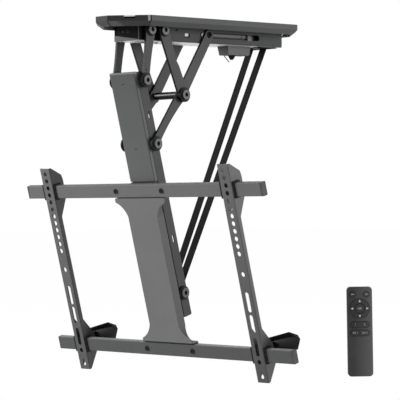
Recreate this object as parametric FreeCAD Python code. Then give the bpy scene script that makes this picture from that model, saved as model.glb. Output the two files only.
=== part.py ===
import FreeCAD, Part
import math
import os

# Motorised flip-down ceiling mount for a flat television, in millimetres.
# +X is sideways, +Y runs back along the ceiling, +Z is up.
# The origin is the centre of the ceiling screw slots on the plate's top face.

V = FreeCAD.Vector
X_AXIS = V(1, 0, 0)
Y_AXIS = V(0, 1, 0)
Z_AXIS = V(0, 0, 1)

# Ceiling plate, an eight-sided folded tray
PLATE_HALF_WIDTH = 77.0
PLATE_NOSE_HALF_WIDTH = 17.0
PLATE_HALF_LENGTH = 275.0
PLATE_STRAIGHT_HALF = 215.0
PLATE_SHEET = 2.5
RIM_DROP = 11.0
RIM_BEVEL_DROP = 9.0
RIM_BEVEL_IN = 12.0
RIM_SEAM = 1.8
RIM_NOTCH_WIDTH = 22.0
RIM_NOTCH_DEPTH = 6.0
RIM_NOTCH_REACH = 4.0
SEAM_IN = 4.0
SEAM_OUT = 2.0
SLOT_HALF_SPACING_X = 52.0
SLOT_HALF_SPACING_Y = 200.0
SLOT_HALF_WIDTH = 4.0
SLOT_LENGTH = 24.0
END_HOLE_R = 4.5
END_HOLE_Y = 246.0

# Channel housing under the plate
CHANNEL_HALF_WIDTH = 35.0
CHANNEL_WALL = 2.5
CHANNEL_FRONT_IN = 67.0
CHANNEL_REAR_IN = 63.0
CHANNEL_FRONT_Y = CHANNEL_FRONT_IN - PLATE_HALF_LENGTH
CHANNEL_REAR_Y = PLATE_HALF_LENGTH - CHANNEL_REAR_IN
CHANNEL_BOTTOM_Z = -44.5
CHANNEL_LIP = 8.0
COVER_SHEET = 1.5
COVER_LIP_LEFT_Z = -33.8
COVER_LIP_RIGHT_Z = -44.0
CAP_DEPTH = 14.0
CAP_SETBACK = 1.0
LED_X = -12.0
LED_R = 1.6
SOCKET_R = 3.6
PORT_Z = -27.0
PORT_FIT = 0.05
CAP_FIT_X = 0.8
CAP_FIT_Z = 0.2
CAP_WALL = 2.0
CAP_WALL_Z = 2.3
FLANGE_GAP = 0.1
LED_SETBACK = 0.2
LED_LENGTH = 7.8
LED_FLANGE = 0.6
LED_FLANGE_THICK = 1.1
SOCKET_SETBACK = 0.3
SOCKET_LENGTH = 13.7
SOCKET_WALL = 1.05
SOCKET_DEPTH = 9.7
SOCKET_PIN_R = 0.9
SOCKET_PIN_BACK = 1.0
SOCKET_FLANGE = 1.2
SOCKET_FLANGE_THICK = 1.9
HOUSING_SCREW_BACKS = (63.5, 243.5)
HOUSING_HOLE_R = 3.0
HOUSING_HEAD_R = 5.0
HOUSING_HEAD_THICK = 2.4
COVER_SCREW_BACKS = (20.5, 56.5)
COVER_HOLE_R = 2.0
COVER_HEAD_R = 3.6
COVER_HEAD_THICK = 1.6
SCREW_CLEARANCE = 0.05
BRIDGE_FRONT_BACK = 12.5
BRIDGE_LENGTH = 52.0
WINDOW_BACK = 103.5
WINDOW_LENGTH = 14.0
WINDOW_TOP_Z = -27.5
WINDOW_HEIGHT = 8.5
SIDE_HOLE_BACK = 80.5
SIDE_HOLE_Z = -22.0
SIDE_HOLE_R = 2.5
COVER_SIDE_GAP = 1.0
COVER_REAR_GAP = 1.0
END_PLATE_THICK = 2.5
END_PLATE_FIT = 0.2
END_TAB_LENGTH = 10.0
END_TAB_THICK = 2.0
CUT_MARGIN = 5.0

# Pivots of the linkage at rest, measured from the front arm's upper pivot
UPPER_PIVOT_IN = 24.5
UPPER_PIVOT_Y = CHANNEL_FRONT_Y + UPPER_PIVOT_IN
UPPER_PIVOT_Z = -25.0
REAR_PIVOT_BACK = 34.0
ARM_TO_MAST_DY = -16.5
ARM_TO_MAST_DZ = -99.7
ELBOW_DY = 85.9
ELBOW_DZ = -126.7
SLIDE_DY = 169.1
SLIDE_DZ = -4.0
MAST_TILT = 14.0
MAST_PIVOT_PITCH = 127.1
ROLLER_BELOW_PIVOT = 307.0

# Slot that guides the scissor arms' upper ends
GUIDE_FRONT_GAP = 0.6
GUIDE_TRAVEL = 140.4
GUIDE_REAR_GAP = 2.0
GUIDE_HEIGHT = 12.0
SLIDER_HALF_LENGTH = 14.4
SLIDER_CLEARANCE = 0.3

# Layers of the linkage, outwards from the channel and mast walls
LAYER_GAP = 0.6
INNER_ARM_THICK = 5.0
OUTER_ARM_THICK = 5.0
FRONT_ARM_STANDOFF = 3.4
WASHER_THICK = 4.4
THIN_WASHER_THICK = 1.4
FRONT_DISC_THICK = 2.6
HEAD_THICK = 3.6
WASHER_R = 14.5
HEAD_R = 10.3
SPACER_R = 9.5
UPPER_WASHER_R = 13.2
SHANK_R = 5.0
PIVOT_CLEARANCE = 0.08
HEX_R = 4.6
HEX_DEPTH = 2.6
PIN_HEAD_R = 6.2
PIN_HEAD_THICK = 1.2
PIN_HEX_R = 3.2
CROSS_ROD_R = 7.5
CROSS_ROD_NECK_R = 5.5
CROSS_ROD_NECK = 5.0
OPEN_PIVOT_GAP = 0.4
BOLT_TAIL = 4.0
HEAD_CHAMFER = 0.8
WASHER_CHAMFER = 0.7
SLIDER_PROUD = 0.2
SLIDER_TONGUE_IN = 0.5
SLIDER_FLANGE = 2.5
SLIDER_FLANGE_END = 2.0
SLIDER_FLANGE_THICK = 3.7
SLIDER_WALL_GAP = 0.3
WASHER_GAP = 0.3

# Arm outlines
ARM_EYE_R = 13.5
FRONT_ARM_WAIST = 17.5
FRONT_ARM_HOLE_R = 1.8
FRONT_ARM_HOLE_UP = 20.0
FRONT_ARM_HOLE_ASIDE = 1.5
EYE_EASE = 0.5
REAR_ARM_WAIST = 21.5
REAR_ARM_STEP = 2.3
SCISSOR_UPPER_WIDTH = 21.0
SCISSOR_ELBOW_WIDTH = 24.0
SCISSOR_WAIST = 17.0
SCISSOR_FOOT_WIDTH = 19.0
SCISSOR_TOP_EYE_R = 11.5

# Mast, in its own upright frame: W runs back, V runs up,
# from the middle of the upper crossbar's front face
MAST_HALF_WIDTH = CHANNEL_HALF_WIDTH
MAST_STEP_IN = 1.8
MAST_SHEET = 2.5
MAST_FRONT_W = 20.0
MAST_REAR_W = 46.0
MAST_PIVOT_W = 33.0
MAST_JOGGLE_W = 25.0
MAST_TOP_OVER_PIVOT = 20.6
MAST_BOTTOM_V = -268.0
MAST_PIVOT_V = 214.9
MAST_TOP_PIVOT_W = 37.4
COVER_FRONT_W = 16.5
COVER_THICK = 1.5
COVER_SCREW_HIGH_V = 213.0
COVER_SCREW_LOW_V = 82.0
SIDE_SLOT_VS = (146.0, -108.0)
SIDE_SLOT_HALF = 7.0
SIDE_SLOT_IN = 12.0
SIDE_SLOT_WIDTH = 4.0
MAST_FOOT_R = 3.0
COVER_CORNER_R = 2.0
TRIM_HOLE_R = 2.0
TRIM_SEAT_R = 5.0
TRIM_SCREW_SUNK = 0.4
TRIM_SCREW_TAIL = 5.0
MAST_BOLT_TAIL = 6.0
COVER_BOTTOM_V = 15.5
COVER_RETURN_W = 24.0

# Television frame
BAR_HALF_LENGTH = 326.0
BAR_HEIGHT = 27.0
BAR_DEPTH = 12.7
BAR_WALL = 1.5
BAR_SPACING = 330.0
BAR_BOLT_HALF = 64.4
END_CAP_THICK = 5.0
BAR_BOLT_R = 3.0
BAR_CORNER_R = 2.0
BAR_HEAD_R = 5.2
BAR_HEAD_THICK = 1.8
BAR_HEAD_SOCKET_R = 2.3
BAR_HEAD_SOCKET_DEPTH = 1.2
BAR_NUT_R = 4.8
BAR_NUT_THICK = 3.5
PLUG_LENGTH = 12.0
PLUG_FIT = 0.1
PANEL_FRONT_W = -2.0
PANEL_TOP_GAP = 1.2
PANEL_LOW_GAP = 1.6
PANEL_SHOULDER = 8.0
PANEL_CURVE = 30.0
PANEL_SPACER_HALF = 28.0
PANEL_SPACER_VS = (-120.0, -240.0)
PANEL_SPACER_TALL = 8.0
PANEL_CURVE_EASE = 0.62
PANEL_TAB_SHORT = 1.0
PANEL_FLANGE_START = 0.5
PANEL_SHEET = 2.0
PANEL_WAIST_HALF = 41.0
PANEL_FLARE_HALF = 69.5
PANEL_TAB_W = 15.4
PANEL_FLANGE_W = 17.0

# Brackets that screw to the back of the television
BRACKET_LEFT_IN = 65.0
BRACKET_RIGHT_IN = 81.5
BRACKET_WIDTH = 28.8
BRACKET_SHEET = 2.0
BRACKET_FACE_W = -4.0
BRACKET_TOP_V = 51.2
BRACKET_BOTTOM_V = -383.8
BRACKET_FLANGE_DEPTH = 9.5
BRACKET_WING_DEPTH = 32.0
HOLE_FIRST_V = 39.6
HOLE_PITCH = 15.0
HOLE_COUNT = 12
HOLE_R = 4.8
INSERT_LINING = 2.6
INSERT_PROUD = 5.0
INSERT_CLEARANCE = 0.3
INSERT_FIT = 0.1
BRACKET_EDGE_R = 1.8
LEVER_REACH = 73.0
LEVER_THICK = 3.0
LEVER_HUB_GAP = 0.5
LOCK_PIN_PROUD = 0.5
LEVER_HUB_R = 6.5
WING_SLOPE = 40.0
LOCK_PIVOT_W = 22.5
LOCK_PIVOT_V = 3.0
LOCK_PIN_R = 2.5
SLOT_SPANS = ((-242.0, -201.5), (-283.4, -247.0), (-330.8, -292.7))
SINGLE_HOLES = (-166.1, -342.0)
KEYHOLE_V = -368.5
KEYHOLE_NECK_R = 2.2
KEYHOLE_DROP = 3.0
KEYHOLE_NECK_LOW = 4.0
KEYHOLE_NECK_HIGH = 8.0

# Drive
MOTOR_R = 17.0
DRUM_IN = 38.0
GEARBOX_AHEAD = 22.0
DRUM_Y = CHANNEL_REAR_Y - DRUM_IN
GEARBOX_REAR_Y = DRUM_Y - GEARBOX_AHEAD
GEARBOX_LENGTH = 33.0
MOTOR_LENGTH = 125.0
MOTOR_NOSE_R = 8.0
SADDLE_LAP = 1.5
SADDLE_BACK = 6.0
SADDLE_THICK = 3.0
SADDLE_FIT = 0.1
MOTOR_COLLAR = 0.8
MOTOR_COLLAR_LENGTH = 12.0
MOTOR_NOSE_LENGTH = 8.0
GEAR_CORNER_R = 4.0
GEAR_NOSE_WIDTH = 14.95
GEAR_NOSE_REACH = 14.0
GEAR_NOSE_ROUND = 10.0
GEAR_HALF_X = 22.0
CASE_BOTTOM_Z = -42.0
DRUM_SHAFT_R = 4.0
SIDE_PLATE_THICK = 2.2
SIDE_PLATE_HALF = 16.0
DRUM_CORE_R = 8.0
DRUM_FLANGE_R = 17.0
STRAP_TAIL = 10.0
DRUM_FLANGE_THICK = 1.0
SPOOL_GAP = 0.4
STRAP_THICK = 1.2
STRAP_LOW_GAP = 1.775
STRAP_WRAP_GAP = 0.1
STRAP_EXIT_FRONT = 12.0
STRAP_EXIT_REAR = 21.0
STRAP_EXIT_SIDE = 1.0
GUIDE_FRAME_SIDE = 3.5
GUIDE_FRAME_FRONT = 14.0
GUIDE_FRAME_REAR = 3.0
GUIDE_FRAME_THICK = 2.2
ROLLER_R = 8.0
ROLLER_END_GAP = 0.5
CLAMP_SIDE = 3.4
CLAMP_THICK = 2.0
CLAMP_LOW = 13.0
CLAMP_HIGH = 9.0
CLAMP_EAR_HALF = 6.0
CONTROL_AHEAD = 107.5
CONTROL_FRONT_Y = DRUM_Y - CONTROL_AHEAD
CONTROL_LENGTH = 70.0
CONTROL_HALF_WIDTH = 15.5
CONTROL_HEIGHT = 18.5
CONTROL_TAPER = 2.6
CONTROL_ROUND = 1.2
CLIP_BACK = 27.0
CLIP_HALF_WIDTH = 4.0
CLIP_DROP = 9.0
AERIAL_X = -7.0
AERIAL_BACK = 12.0
AERIAL_SUNK = 0.7
AERIAL_R = 0.9
AERIAL_LENGTH = 19.0
SWITCH_DEPTH = 6.0
SWITCH_FRONT = 16.0
SWITCH_LENGTH = 11.0
SWITCH_SHORT = 2.5
SWITCH_OVER = 2.0

# Handset, standing by itself
HANDSET_X = 495.6
HANDSET_Y = -105.2
HANDSET_Z = -606.0
HANDSET_TURN = 44.0
HANDSET_WIDTH = 46.6
HANDSET_HEIGHT = 165.0
HANDSET_DEPTH = 14.0
HANDSET_CORNER_R = 7.0
HANDSET_FRONT_ROUND = 1.5
HANDSET_BACK_ROUND = 3.0
SHELL_SPLIT = 6.0
KEY_PROUD = 0.9
KEY_GAP = 0.35
KEY_DEPTH = 3.0
ROUND_KEY_R = 5.3
ROUND_KEY_X = 12.7
ROUND_KEY_V = 68.6
ROUND_WELL_DEPTH = 1.2
RING_V = 42.6
RING_R = 18.2
RING_INNER_R = 9.4
OK_KEY_R = 8.6
PILL_HALF = 17.3
PILL_HALF_H = 5.6
PILL_VS = (13.0, -2.2)
PILL_WELL_DEPTH = 1.8

# General helpers


def block(x0, x1, y0, y1, z0, z1):
    return Part.makeBox(x1 - x0, y1 - y0, z1 - z0, V(x0, y0, z0))


def rod_x(y, z, radius, x0, x1):
    return Part.makeCylinder(radius, x1 - x0, V(x0, y, z), X_AXIS)


def rod_y(x, z, radius, y0, y1):
    return Part.makeCylinder(radius, y1 - y0, V(x, y0, z), Y_AXIS)


def rod_z(x, y, radius, z0, z1):
    return Part.makeCylinder(radius, z1 - z0, V(x, y, z0), Z_AXIS)


def face_of(points):
    return Part.Face(Part.makePolygon(points + [points[0]]))


def prism_x(outline, x0, x1):
    face = face_of([V(x0, y, z) for y, z in outline])
    return face.extrude(V(x1 - x0, 0, 0))


def prism_y(outline, y0, y1):
    face = face_of([V(x, y0, z) for x, z in outline])
    return face.extrude(V(0, y1 - y0, 0))


def prism_z(outline, z0, z1):
    face = face_of([V(x, y, z0) for x, y in outline])
    return face.extrude(V(0, 0, z1 - z0))


def fuse(shapes):
    result = shapes[0]
    for shape in shapes[1:]:
        result = result.fuse(shape)
    return result.removeSplitter()


def mirrored(shape):
    return shape.mirror(V(0, 0, 0), X_AXIS)


def moved(shape, x, y, z):
    copy = shape.copy()
    copy.translate(V(x, y, z))
    return copy


def edges_along(shape, axis, test):
    found = []
    for edge in shape.Edges:
        ends = [vertex.Point for vertex in edge.Vertexes]
        if len(ends) == 2:
            span = ends[1].sub(ends[0])
            if span.Length > 1e-6 and abs(abs(span.normalize().dot(axis)) - 1) < 1e-6:
                if test(edge.CenterOfMass):
                    found.append(edge)
    return found


def rounded_along(shape, axis, radius, test=lambda point: True):
    return shape.makeFillet(radius, edges_along(shape, axis, test))


def slot_x(x, y, half_width, length, z0, z1):
    straight = length / 2 - half_width
    middle = block(x - straight, x + straight, y - half_width, y + half_width, z0, z1)
    ends = [rod_z(x + side * straight, y, half_width, z0, z1) for side in (-1, 1)]
    return fuse([middle] + ends)


def obround_x(y0, y1, z, half_height, x0, x1):
    middle = block(x0, x1, y0 + half_height, y1 - half_height, z - half_height, z + half_height)
    ends = [rod_x(y, z, half_height, x0, x1) for y in (y0 + half_height, y1 - half_height)]
    return fuse([middle] + ends)


NODES = {}


def keep(name, shapes):
    parts = shapes if isinstance(shapes, list) else [shapes]
    NODES[name] = parts[0] if len(parts) == 1 else Part.makeCompound(parts)


# Places worked out from the sizes
PIVOT_A = (UPPER_PIVOT_Y, UPPER_PIVOT_Z)
PIVOT_B = (UPPER_PIVOT_Y + REAR_PIVOT_BACK, UPPER_PIVOT_Z)
PIVOT_C = (UPPER_PIVOT_Y + ARM_TO_MAST_DY, UPPER_PIVOT_Z + ARM_TO_MAST_DZ)
PIVOT_D = (UPPER_PIVOT_Y + ELBOW_DY, UPPER_PIVOT_Z + ELBOW_DZ)
PIVOT_S = (UPPER_PIVOT_Y + SLIDE_DY, UPPER_PIVOT_Z + SLIDE_DZ)
TILT = math.radians(MAST_TILT)
PIVOT_E_V = MAST_PIVOT_V - MAST_PIVOT_PITCH
PIVOT_F_V = PIVOT_E_V - ROLLER_BELOW_PIVOT
MAST_ORIGIN_Y = PIVOT_C[0] - MAST_TOP_PIVOT_W * math.cos(TILT) + MAST_PIVOT_V * math.sin(TILT)
MAST_ORIGIN_Z = PIVOT_C[1] - MAST_TOP_PIVOT_W * math.sin(TILT) - MAST_PIVOT_V * math.cos(TILT)


def mast_point(w, v):
    y = MAST_ORIGIN_Y + w * math.cos(TILT) - v * math.sin(TILT)
    z = MAST_ORIGIN_Z + w * math.sin(TILT) + v * math.cos(TILT)
    return (y, z)


def on_mast(shape):
    placed = shape.copy()
    placed.rotate(V(0, 0, 0), X_AXIS, MAST_TILT)
    placed.translate(V(0, MAST_ORIGIN_Y, MAST_ORIGIN_Z))
    return placed


PIVOT_E = mast_point(MAST_PIVOT_W, PIVOT_E_V)
PIVOT_F = mast_point(MAST_PIVOT_W, PIVOT_F_V)
INNER_X0 = CHANNEL_HALF_WIDTH + LAYER_GAP
INNER_X1 = INNER_X0 + INNER_ARM_THICK
OUTER_X0 = INNER_X1 + LAYER_GAP
OUTER_X1 = OUTER_X0 + OUTER_ARM_THICK
FRONT_X0 = CHANNEL_HALF_WIDTH + FRONT_ARM_STANDOFF
FRONT_X1 = FRONT_X0 + OUTER_ARM_THICK
MOTOR_REAR_Y = GEARBOX_REAR_Y - GEARBOX_LENGTH
MOTOR_FRONT_Y = MOTOR_REAR_Y - MOTOR_LENGTH
WEB_TOP = -PLATE_SHEET
WEB_BOTTOM = WEB_TOP - CHANNEL_WALL
INSIDE = CHANNEL_HALF_WIDTH - CHANNEL_WALL
NOSE_HALF_X = GEAR_NOSE_WIDTH / 2
SIDE_PLATE_X0 = INSIDE - SIDE_PLATE_THICK
SPOOL_IN = NOSE_HALF_X + SPOOL_GAP
SPOOL_OUT = SIDE_PLATE_X0 - SPOOL_GAP
STRAP_TOP_X = (SPOOL_IN + SPOOL_OUT) / 2
STRAP_WIDTH = SPOOL_OUT - SPOOL_IN - 2 * DRUM_FLANGE_THICK - 2 * SPOOL_GAP
STRAP_LOW_X = (STRAP_WIDTH + STRAP_LOW_GAP) / 2
STRAP_SLOT_Y0 = DRUM_Y - STRAP_EXIT_FRONT
STRAP_SLOT_Y1 = DRUM_Y + STRAP_EXIT_REAR
HOUSING_SCREW_YS = [UPPER_PIVOT_Y + back for back in HOUSING_SCREW_BACKS]
COVER_SCREW_YS = [UPPER_PIVOT_Y + back for back in COVER_SCREW_BACKS]
BRIDGE_Y0 = UPPER_PIVOT_Y + BRIDGE_FRONT_BACK
BRIDGE_Y1 = BRIDGE_Y0 + BRIDGE_LENGTH
GUIDE_Y0 = PIVOT_S[0] - SLIDER_HALF_LENGTH - GUIDE_FRONT_GAP
GUIDE_Y1 = PIVOT_S[0] + GUIDE_TRAVEL + SLIDER_HALF_LENGTH + GUIDE_REAR_GAP
WINDOW_Y = UPPER_PIVOT_Y + WINDOW_BACK
SIDE_HOLE_Y = UPPER_PIVOT_Y + SIDE_HOLE_BACK
COVER_FRONT_Y = CHANNEL_FRONT_Y - COVER_SHEET
COVER_REAR_Y = CHANNEL_REAR_Y - COVER_REAR_GAP
COVER_TOP_Z = CHANNEL_BOTTOM_Z
COVER_BOTTOM_Z = COVER_TOP_Z - COVER_SHEET
CAP_FACE_Y = CHANNEL_FRONT_Y + CAP_SETBACK
CASE_TOP_Z = WEB_BOTTOM
DRUM_Z = UPPER_PIVOT_Z
OUTER_SEAT_X = OUTER_X1 + WASHER_GAP + WASHER_THICK
INNER_SEAT_X = INNER_X1 + WASHER_GAP + WASHER_THICK
CHANNEL_REACH = CHANNEL_HALF_WIDTH + CUT_MARGIN
LINKAGE_REACH = OUTER_X1 + CUT_MARGIN
MAST_REACH = MAST_HALF_WIDTH + CUT_MARGIN
BRACKET_LEFT_X = BRACKET_LEFT_IN - BAR_HALF_LENGTH
BRACKET_RIGHT_X = BAR_HALF_LENGTH - BRACKET_RIGHT_IN
BRACKET_REACH = BRACKET_WING_DEPTH - BRACKET_FACE_W
PANEL_TOP_V = -BAR_HEIGHT / 2 - PANEL_TOP_GAP
PANEL_BOTTOM_V = -BAR_SPACING + BAR_HEIGHT / 2 + PANEL_LOW_GAP
ROLLER_HALF = MAST_HALF_WIDTH - MAST_STEP_IN - MAST_SHEET - ROLLER_END_GAP
STRAP_DRUM_R = DRUM_CORE_R + STRAP_THICK / 2 + STRAP_WRAP_GAP
STRAP_ROLLER_R = ROLLER_R + STRAP_THICK / 2 + STRAP_WRAP_GAP
HALF_W = HANDSET_WIDTH / 2
HALF_H = HANDSET_HEIGHT / 2

# Ceiling plate


def octagon(inset):
    cut_x = PLATE_HALF_WIDTH - PLATE_NOSE_HALF_WIDTH
    cut_y = PLATE_HALF_LENGTH - PLATE_STRAIGHT_HALF
    slant = math.hypot(cut_x, cut_y)
    reach = (PLATE_HALF_WIDTH * cut_y + PLATE_STRAIGHT_HALF * cut_x) / slant - inset
    side = PLATE_HALF_WIDTH - inset
    end = PLATE_HALF_LENGTH - inset
    side_y = (reach * slant - side * cut_y) / cut_x
    end_x = (reach * slant - end * cut_x) / cut_y
    return [(end_x, -end), (side, -side_y), (side, side_y), (end_x, end),
            (-end_x, end), (-side, side_y), (-side, -side_y), (-end_x, -end)]


def octagon_wire(inset, z):
    points = [V(x, y, z) for x, y in octagon(inset)]
    return Part.makePolygon(points + [points[0]])


def tray_body(extra, top):
    rim = Part.makeLoft([octagon_wire(extra, top), octagon_wire(extra, -RIM_DROP)], True, True)
    low = Part.makeLoft([octagon_wire(extra, -RIM_DROP),
                         octagon_wire(extra + RIM_BEVEL_IN, -RIM_DROP - RIM_BEVEL_DROP)], True, True)
    return rim.fuse(low)


def ceiling_plate():
    tray = tray_body(0, 0).cut(tray_body(PLATE_SHEET, -PLATE_SHEET))
    corners = octagon(0)
    hole_z0 = -PLATE_SHEET - 1
    lean = math.degrees(math.atan2(PLATE_HALF_LENGTH - PLATE_STRAIGHT_HALF,
                                   PLATE_HALF_WIDTH - PLATE_NOSE_HALF_WIDTH))
    for x, y in corners:
        seam = block(-RIM_BEVEL_IN - SEAM_IN, SEAM_OUT, -RIM_SEAM / 2, RIM_SEAM / 2,
                     -RIM_DROP - RIM_BEVEL_DROP, -PLATE_SHEET)
        end_corner = abs(y) > PLATE_STRAIGHT_HALF + 1
        turn = (90 + lean) / 2 if end_corner else lean / 2
        angle = turn if x > 0 and y > 0 else 180 - turn if x < 0 < y else 180 + turn if x < 0 else -turn
        seam.rotate(V(0, 0, 0), Z_AXIS, angle)
        tray = tray.cut(moved(seam, x, y, 0))
    for y in HOUSING_SCREW_YS:
        tray = tray.cut(rod_z(0, y, HOUSING_HOLE_R, hole_z0, 1))
    for side in (-1, 1):
        middle_x = side * (PLATE_HALF_WIDTH + PLATE_NOSE_HALF_WIDTH) / 2
        middle_y = -(PLATE_HALF_LENGTH + PLATE_STRAIGHT_HALF) / 2
        notch = block(-RIM_NOTCH_WIDTH / 2, RIM_NOTCH_WIDTH / 2, -RIM_NOTCH_REACH, RIM_NOTCH_REACH,
                      -RIM_NOTCH_DEPTH, 1)
        notch.rotate(V(0, 0, 0), Z_AXIS, side * lean)
        tray = tray.cut(moved(notch, middle_x, middle_y, 0))
        tray = tray.cut(rod_z(0, side * END_HOLE_Y, END_HOLE_R, hole_z0, 1))
        for row in (-1, 1):
            tray = tray.cut(slot_x(side * SLOT_HALF_SPACING_X, row * SLOT_HALF_SPACING_Y,
                                   SLOT_HALF_WIDTH, SLOT_LENGTH, hole_z0, 1))
    return tray


keep("ceiling_plate", ceiling_plate())

# Channel housing, with its guide slots


def strap_exits(x_margin, z0, z1):
    half = STRAP_WIDTH / 2 + x_margin
    return [block(side * STRAP_TOP_X - half, side * STRAP_TOP_X + half, STRAP_SLOT_Y0, STRAP_SLOT_Y1, z0, z1)
            for side in (-1, 1)]


def channel_housing():
    lip_x = INSIDE - CHANNEL_LIP
    lip_top = CHANNEL_BOTTOM_Z + CHANNEL_WALL
    right = [(CHANNEL_HALF_WIDTH, WEB_TOP), (CHANNEL_HALF_WIDTH, CHANNEL_BOTTOM_Z), (lip_x, CHANNEL_BOTTOM_Z),
             (lip_x, lip_top), (INSIDE, lip_top), (INSIDE, WEB_BOTTOM)]
    outline = right + [(-x, z) for x, z in reversed(right)]
    body = prism_y(outline, CHANNEL_FRONT_Y, CHANNEL_REAR_Y)
    body = rounded_along(body, Y_AXIS, CHANNEL_WALL,
                         lambda p: abs(p.x) > CHANNEL_HALF_WIDTH - 0.1 and p.z < WEB_BOTTOM)
    reach = CHANNEL_REACH
    cuts = [obround_x(GUIDE_Y0, GUIDE_Y1, PIVOT_S[1], GUIDE_HEIGHT / 2, -reach, reach),
            block(-reach, reach, WINDOW_Y, WINDOW_Y + WINDOW_LENGTH,
                  WINDOW_TOP_Z - WINDOW_HEIGHT, WINDOW_TOP_Z),
            rod_x(SIDE_HOLE_Y, SIDE_HOLE_Z, SIDE_HOLE_R, -reach, reach)]
    for y, z in (PIVOT_A, PIVOT_B):
        cuts.append(rod_x(y, z, SHANK_R, -reach, reach))
    for y in HOUSING_SCREW_YS:
        cuts.append(rod_z(0, y, HOUSING_HOLE_R, WEB_BOTTOM - 1, 0))
    for y in COVER_SCREW_YS:
        cuts.append(rod_z(0, y, COVER_HOLE_R, CHANNEL_BOTTOM_Z - 1, lip_top + 1))
    cuts += strap_exits(SPOOL_GAP, CHANNEL_BOTTOM_Z - 1, lip_top + 1)
    bridge = block(-INSIDE, INSIDE, BRIDGE_Y0, BRIDGE_Y1, CHANNEL_BOTTOM_Z, lip_top)
    saddle_y = MOTOR_FRONT_Y + SADDLE_BACK
    saddle_half = lip_x + SADDLE_LAP
    saddle = block(-saddle_half, saddle_half, saddle_y, saddle_y + SADDLE_THICK, lip_top, WEB_BOTTOM)
    saddle = saddle.cut(rod_y(0, UPPER_PIVOT_Z, MOTOR_R + SADDLE_FIT,
                              saddle_y - 1, saddle_y + SADDLE_THICK + 1))
    body = fuse([body, bridge, saddle])
    for cut in cuts:
        body = body.cut(cut)
    return body


keep("channel_housing", channel_housing())


def front_end_cap():
    half = INSIDE - CAP_FIT_X
    low = CHANNEL_BOTTOM_Z + CHANNEL_WALL + CAP_FIT_Z
    high = WEB_BOTTOM - CAP_FIT_Z
    body = block(-half, half, CAP_FACE_Y, CAP_FACE_Y + CAP_DEPTH, low, high)
    body = body.cut(block(-half + CAP_WALL, half - CAP_WALL,
                          CAP_FACE_Y + CAP_WALL, CAP_FACE_Y + CAP_DEPTH + 1,
                          low + CAP_WALL_Z, high - CAP_WALL_Z))
    for x, radius in ((LED_X, LED_R), (0, SOCKET_R)):
        body = body.cut(rod_y(x, PORT_Z, radius, CAP_FACE_Y - 1, CAP_FACE_Y + CAP_WALL + 1))
    return body


keep("front_end_cap", front_end_cap())


def status_led():
    start = CAP_FACE_Y + LED_SETBACK
    seat = CAP_FACE_Y + CAP_WALL + FLANGE_GAP
    stem = rod_y(LED_X, PORT_Z, LED_R - PORT_FIT, start, start + LED_LENGTH)
    dome = Part.makeSphere(LED_R - PORT_FIT, V(LED_X, start, PORT_Z))
    return fuse([stem, dome, rod_y(LED_X, PORT_Z, LED_R + LED_FLANGE, seat, seat + LED_FLANGE_THICK)])


keep("status_led", status_led())


def power_socket():
    outer = SOCKET_R - PORT_FIT
    start = CAP_FACE_Y + SOCKET_SETBACK
    floor = start + SOCKET_DEPTH
    seat = CAP_FACE_Y + CAP_WALL + FLANGE_GAP
    barrel = rod_y(0, PORT_Z, outer, start, start + SOCKET_LENGTH)
    barrel = barrel.fuse(rod_y(0, PORT_Z, SOCKET_R + SOCKET_FLANGE, seat, seat + SOCKET_FLANGE_THICK))
    barrel = barrel.cut(rod_y(0, PORT_Z, outer - SOCKET_WALL, CAP_FACE_Y, floor))
    return fuse([barrel, rod_y(0, PORT_Z, SOCKET_PIN_R, CAP_FACE_Y + SOCKET_PIN_BACK, floor + 1)])


keep("power_socket", power_socket())


def rear_end_plate():
    y0 = CHANNEL_REAR_Y - END_PLATE_THICK
    half = INSIDE - END_PLATE_FIT
    plate = block(-half, half, y0, CHANNEL_REAR_Y, CHANNEL_BOTTOM_Z + CHANNEL_WALL, WEB_BOTTOM)
    tab = block(-half, half, y0 - END_TAB_LENGTH, y0, WEB_BOTTOM - END_TAB_THICK, WEB_BOTTOM)
    return fuse([plate, tab])


keep("rear_end_plate", rear_end_plate())


def bottom_cover():
    # Flat sheet whose front end turns up in front of the housing, higher on the left
    half = CHANNEL_HALF_WIDTH - COVER_SIDE_GAP
    sheet = block(-half, half, COVER_FRONT_Y, COVER_REAR_Y, COVER_BOTTOM_Z, COVER_TOP_Z)
    lip = prism_y([(-half, COVER_BOTTOM_Z), (half, COVER_BOTTOM_Z), (half, COVER_LIP_RIGHT_Z),
                   (-half, COVER_LIP_LEFT_Z)], COVER_FRONT_Y, CHANNEL_FRONT_Y)
    sheet = fuse([sheet, lip])
    for hole in strap_exits(STRAP_EXIT_SIDE, COVER_BOTTOM_Z - 1, COVER_TOP_Z + 1):
        sheet = sheet.cut(hole)
    for y in COVER_SCREW_YS:
        sheet = sheet.cut(rod_z(0, y, COVER_HOLE_R, COVER_BOTTOM_Z - 1, COVER_TOP_Z + 1))
    return sheet


keep("bottom_cover", bottom_cover())


def screw_down(x, y, seat_z, head_r, head_h, shank_r, length):
    head = rod_z(x, y, head_r, seat_z - head_h, seat_z)
    head = head.cut(rod_z(x, y, head_r * 0.45, seat_z - head_h - 0.1, seat_z - head_h * 0.4))
    return fuse([head, rod_z(x, y, shank_r, seat_z - 0.01, seat_z + length)])


def housing_screws():
    screws = []
    for y in HOUSING_SCREW_YS:
        screws.append(screw_down(0, y, WEB_BOTTOM, HOUSING_HEAD_R, HOUSING_HEAD_THICK,
                                 HOUSING_HOLE_R - SCREW_CLEARANCE, CHANNEL_WALL + PLATE_SHEET - 0.3))
    for y in COVER_SCREW_YS:
        screws.append(screw_down(0, y, COVER_BOTTOM_Z, COVER_HEAD_R, COVER_HEAD_THICK,
                                 COVER_HOLE_R - SCREW_CLEARANCE, COVER_SHEET + CHANNEL_WALL + 1.5))
    return screws


keep("housing_screws", housing_screws())

# Drive: tubular motor, gearbox, strap drum


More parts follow.
